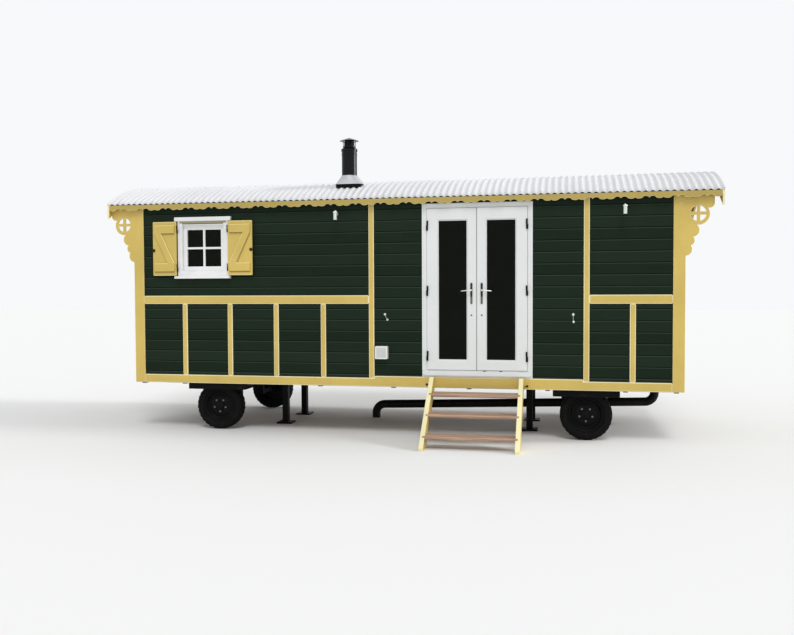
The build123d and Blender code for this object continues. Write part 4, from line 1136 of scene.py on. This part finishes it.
# Points round a hook's bend from its foot: across, towards the wall and upward, with the radius at each
hook_bend = (
    (0.0, 0.0, 0.012, 0.0026), (0.001, 0.0005, 0.004, 0.0034), (0.005, 0.003, 0.0, 0.0038),
    (0.01, 0.006, 0.002, 0.0036), (0.012, 0.008, 0.01, 0.003),
)
near, far = wall_face - 0.006, wall_face - 0.019
holdbacks = Shape()
for top, foot in (((-0.1206, 1.458), (-0.095, 1.392)), ((2.0777, 1.46), (2.0777, 1.374))):
    holdbacks.turned(upper_rose, (top[0], wall_face - 0.0055, top[1]), "y", 20)
    path = [(top[0], near, top[1]), (top[0], far + 0.003, top[1]), (top[0], far, top[1] - 0.003)]
    for across, back, rise, _ in hook_bend:
        path.append((foot[0] + across, far + back, foot[1] + rise))
    holdbacks.rod(path, [0.0026] * 3 + [point[3] for point in hook_bend], 10)
    holdbacks.turned(lower_rose, (foot[0] + 0.004, wall_face - 0.0055, foot[1] + 0.002), "y", 20)
holdbacks.piece("door_holdback_hooks", "hut", "light_steel", handle_metal)

skirt_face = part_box("skirt_boards")[0].y
stringer_low, stringer_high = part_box("step_stringers")
bolt_profile = (
    (0.0, 0.0), (0.014, 0.0), (0.014, -0.003), (0.009, -0.003), (0.008, -0.016), (0.005, -0.019),
    (0.0, -0.019),
)
bolt_height = 0.631
fixings = Shape()
for bolt_x, edge in ((0.3856, stringer_low.x), (1.56, stringer_high.x)):
    fixings.turned(bolt_profile, (bolt_x, skirt_face, bolt_height), "y", 24)
    link_ends = [(bolt_x, skirt_face - 0.011, 0.629), (edge, skirt_face - 0.011, 0.622)]
    fixings.rod(link_ends, (0.0045, 0.0045), 12)
fixings.piece("step_fixings", "hut", "black_steel", catch_iron)


# Floor, light and camera
def pale_floor():
    """A wide, matt floor under the hut, on the stage only."""
    finish = Finish("studio_floor", Roughness=0.9)
    finish.shader.inputs["Base Color"].default_value = rgb(0.8, 0.8, 0.79)
    work = bmesh.new()
    bmesh.ops.create_grid(work, x_segments=1, y_segments=1, size=60)
    mesh = bpy.data.meshes.new("studio_floor")
    work.to_mesh(mesh)
    work.free()
    ground = link(mesh, "studio_floor")
    ground.data.materials.append(finish.material)
    ground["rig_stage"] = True


pale_floor()

world = bpy.data.worlds.new("studio")
scene.world = world
world.use_nodes = True
sky = Graph(world.node_tree)
rays = "ShaderNodeLightPath"
kinds = ("Camera", "Glossy", "Transmission")
seen, mirrored, through = [sky.node(rays, output=f"Is {kind} Ray") for kind in kinds]
shows_backdrop = sky.math("MAXIMUM", seen, sky.math("MAXIMUM", mirrored, through))
ambient = 0.675
backdrop_lift = 0.305
background = world.node_tree.nodes["Background"]
background.inputs["Color"].default_value = rgb(0.95, 0.965, 0.98)
world.node_tree.links.new((ambient + shows_backdrop * backdrop_lift).socket, background.inputs["Strength"])


def sun(name, energy, softness, tilt, turn):
    """A soft sun; turn is the way that it shines, from straight at the back wall towards the left end."""
    data = bpy.data.lights.new(name, "SUN")
    data.energy = energy
    data.angle = radians(softness)
    link(data, name).rotation_euler = (radians(tilt), 0, radians(turn))


sun("front_light", 1.05, 20, 36, 14)
sun("right_light", 1.1, 12, 58, 94)
sun("low_right_light", 1.9, 24, 86, 106)

camera_data = bpy.data.cameras.new("photo_view")
camera_data.sensor_width = 36
camera_data.lens = 36 * 835.9 / 794
camera = link(camera_data, "photo_view")
scene.camera = camera
yaw, pitch, roll = radians(11.59), radians(2.01), radians(0.24)
camera.location = (2.0225, -10.4845, 1.77)
camera.rotation_mode = "QUATERNION"
tilted = Matrix.Rotation(pi / 2 - pitch, 3, "X") @ Matrix.Rotation(-roll, 3, "Z")
camera.rotation_quaternion = (Matrix.Rotation(yaw, 3, "Z") @ tilted).to_quaternion()

scene.view_settings.view_transform = "Standard"

low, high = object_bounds()
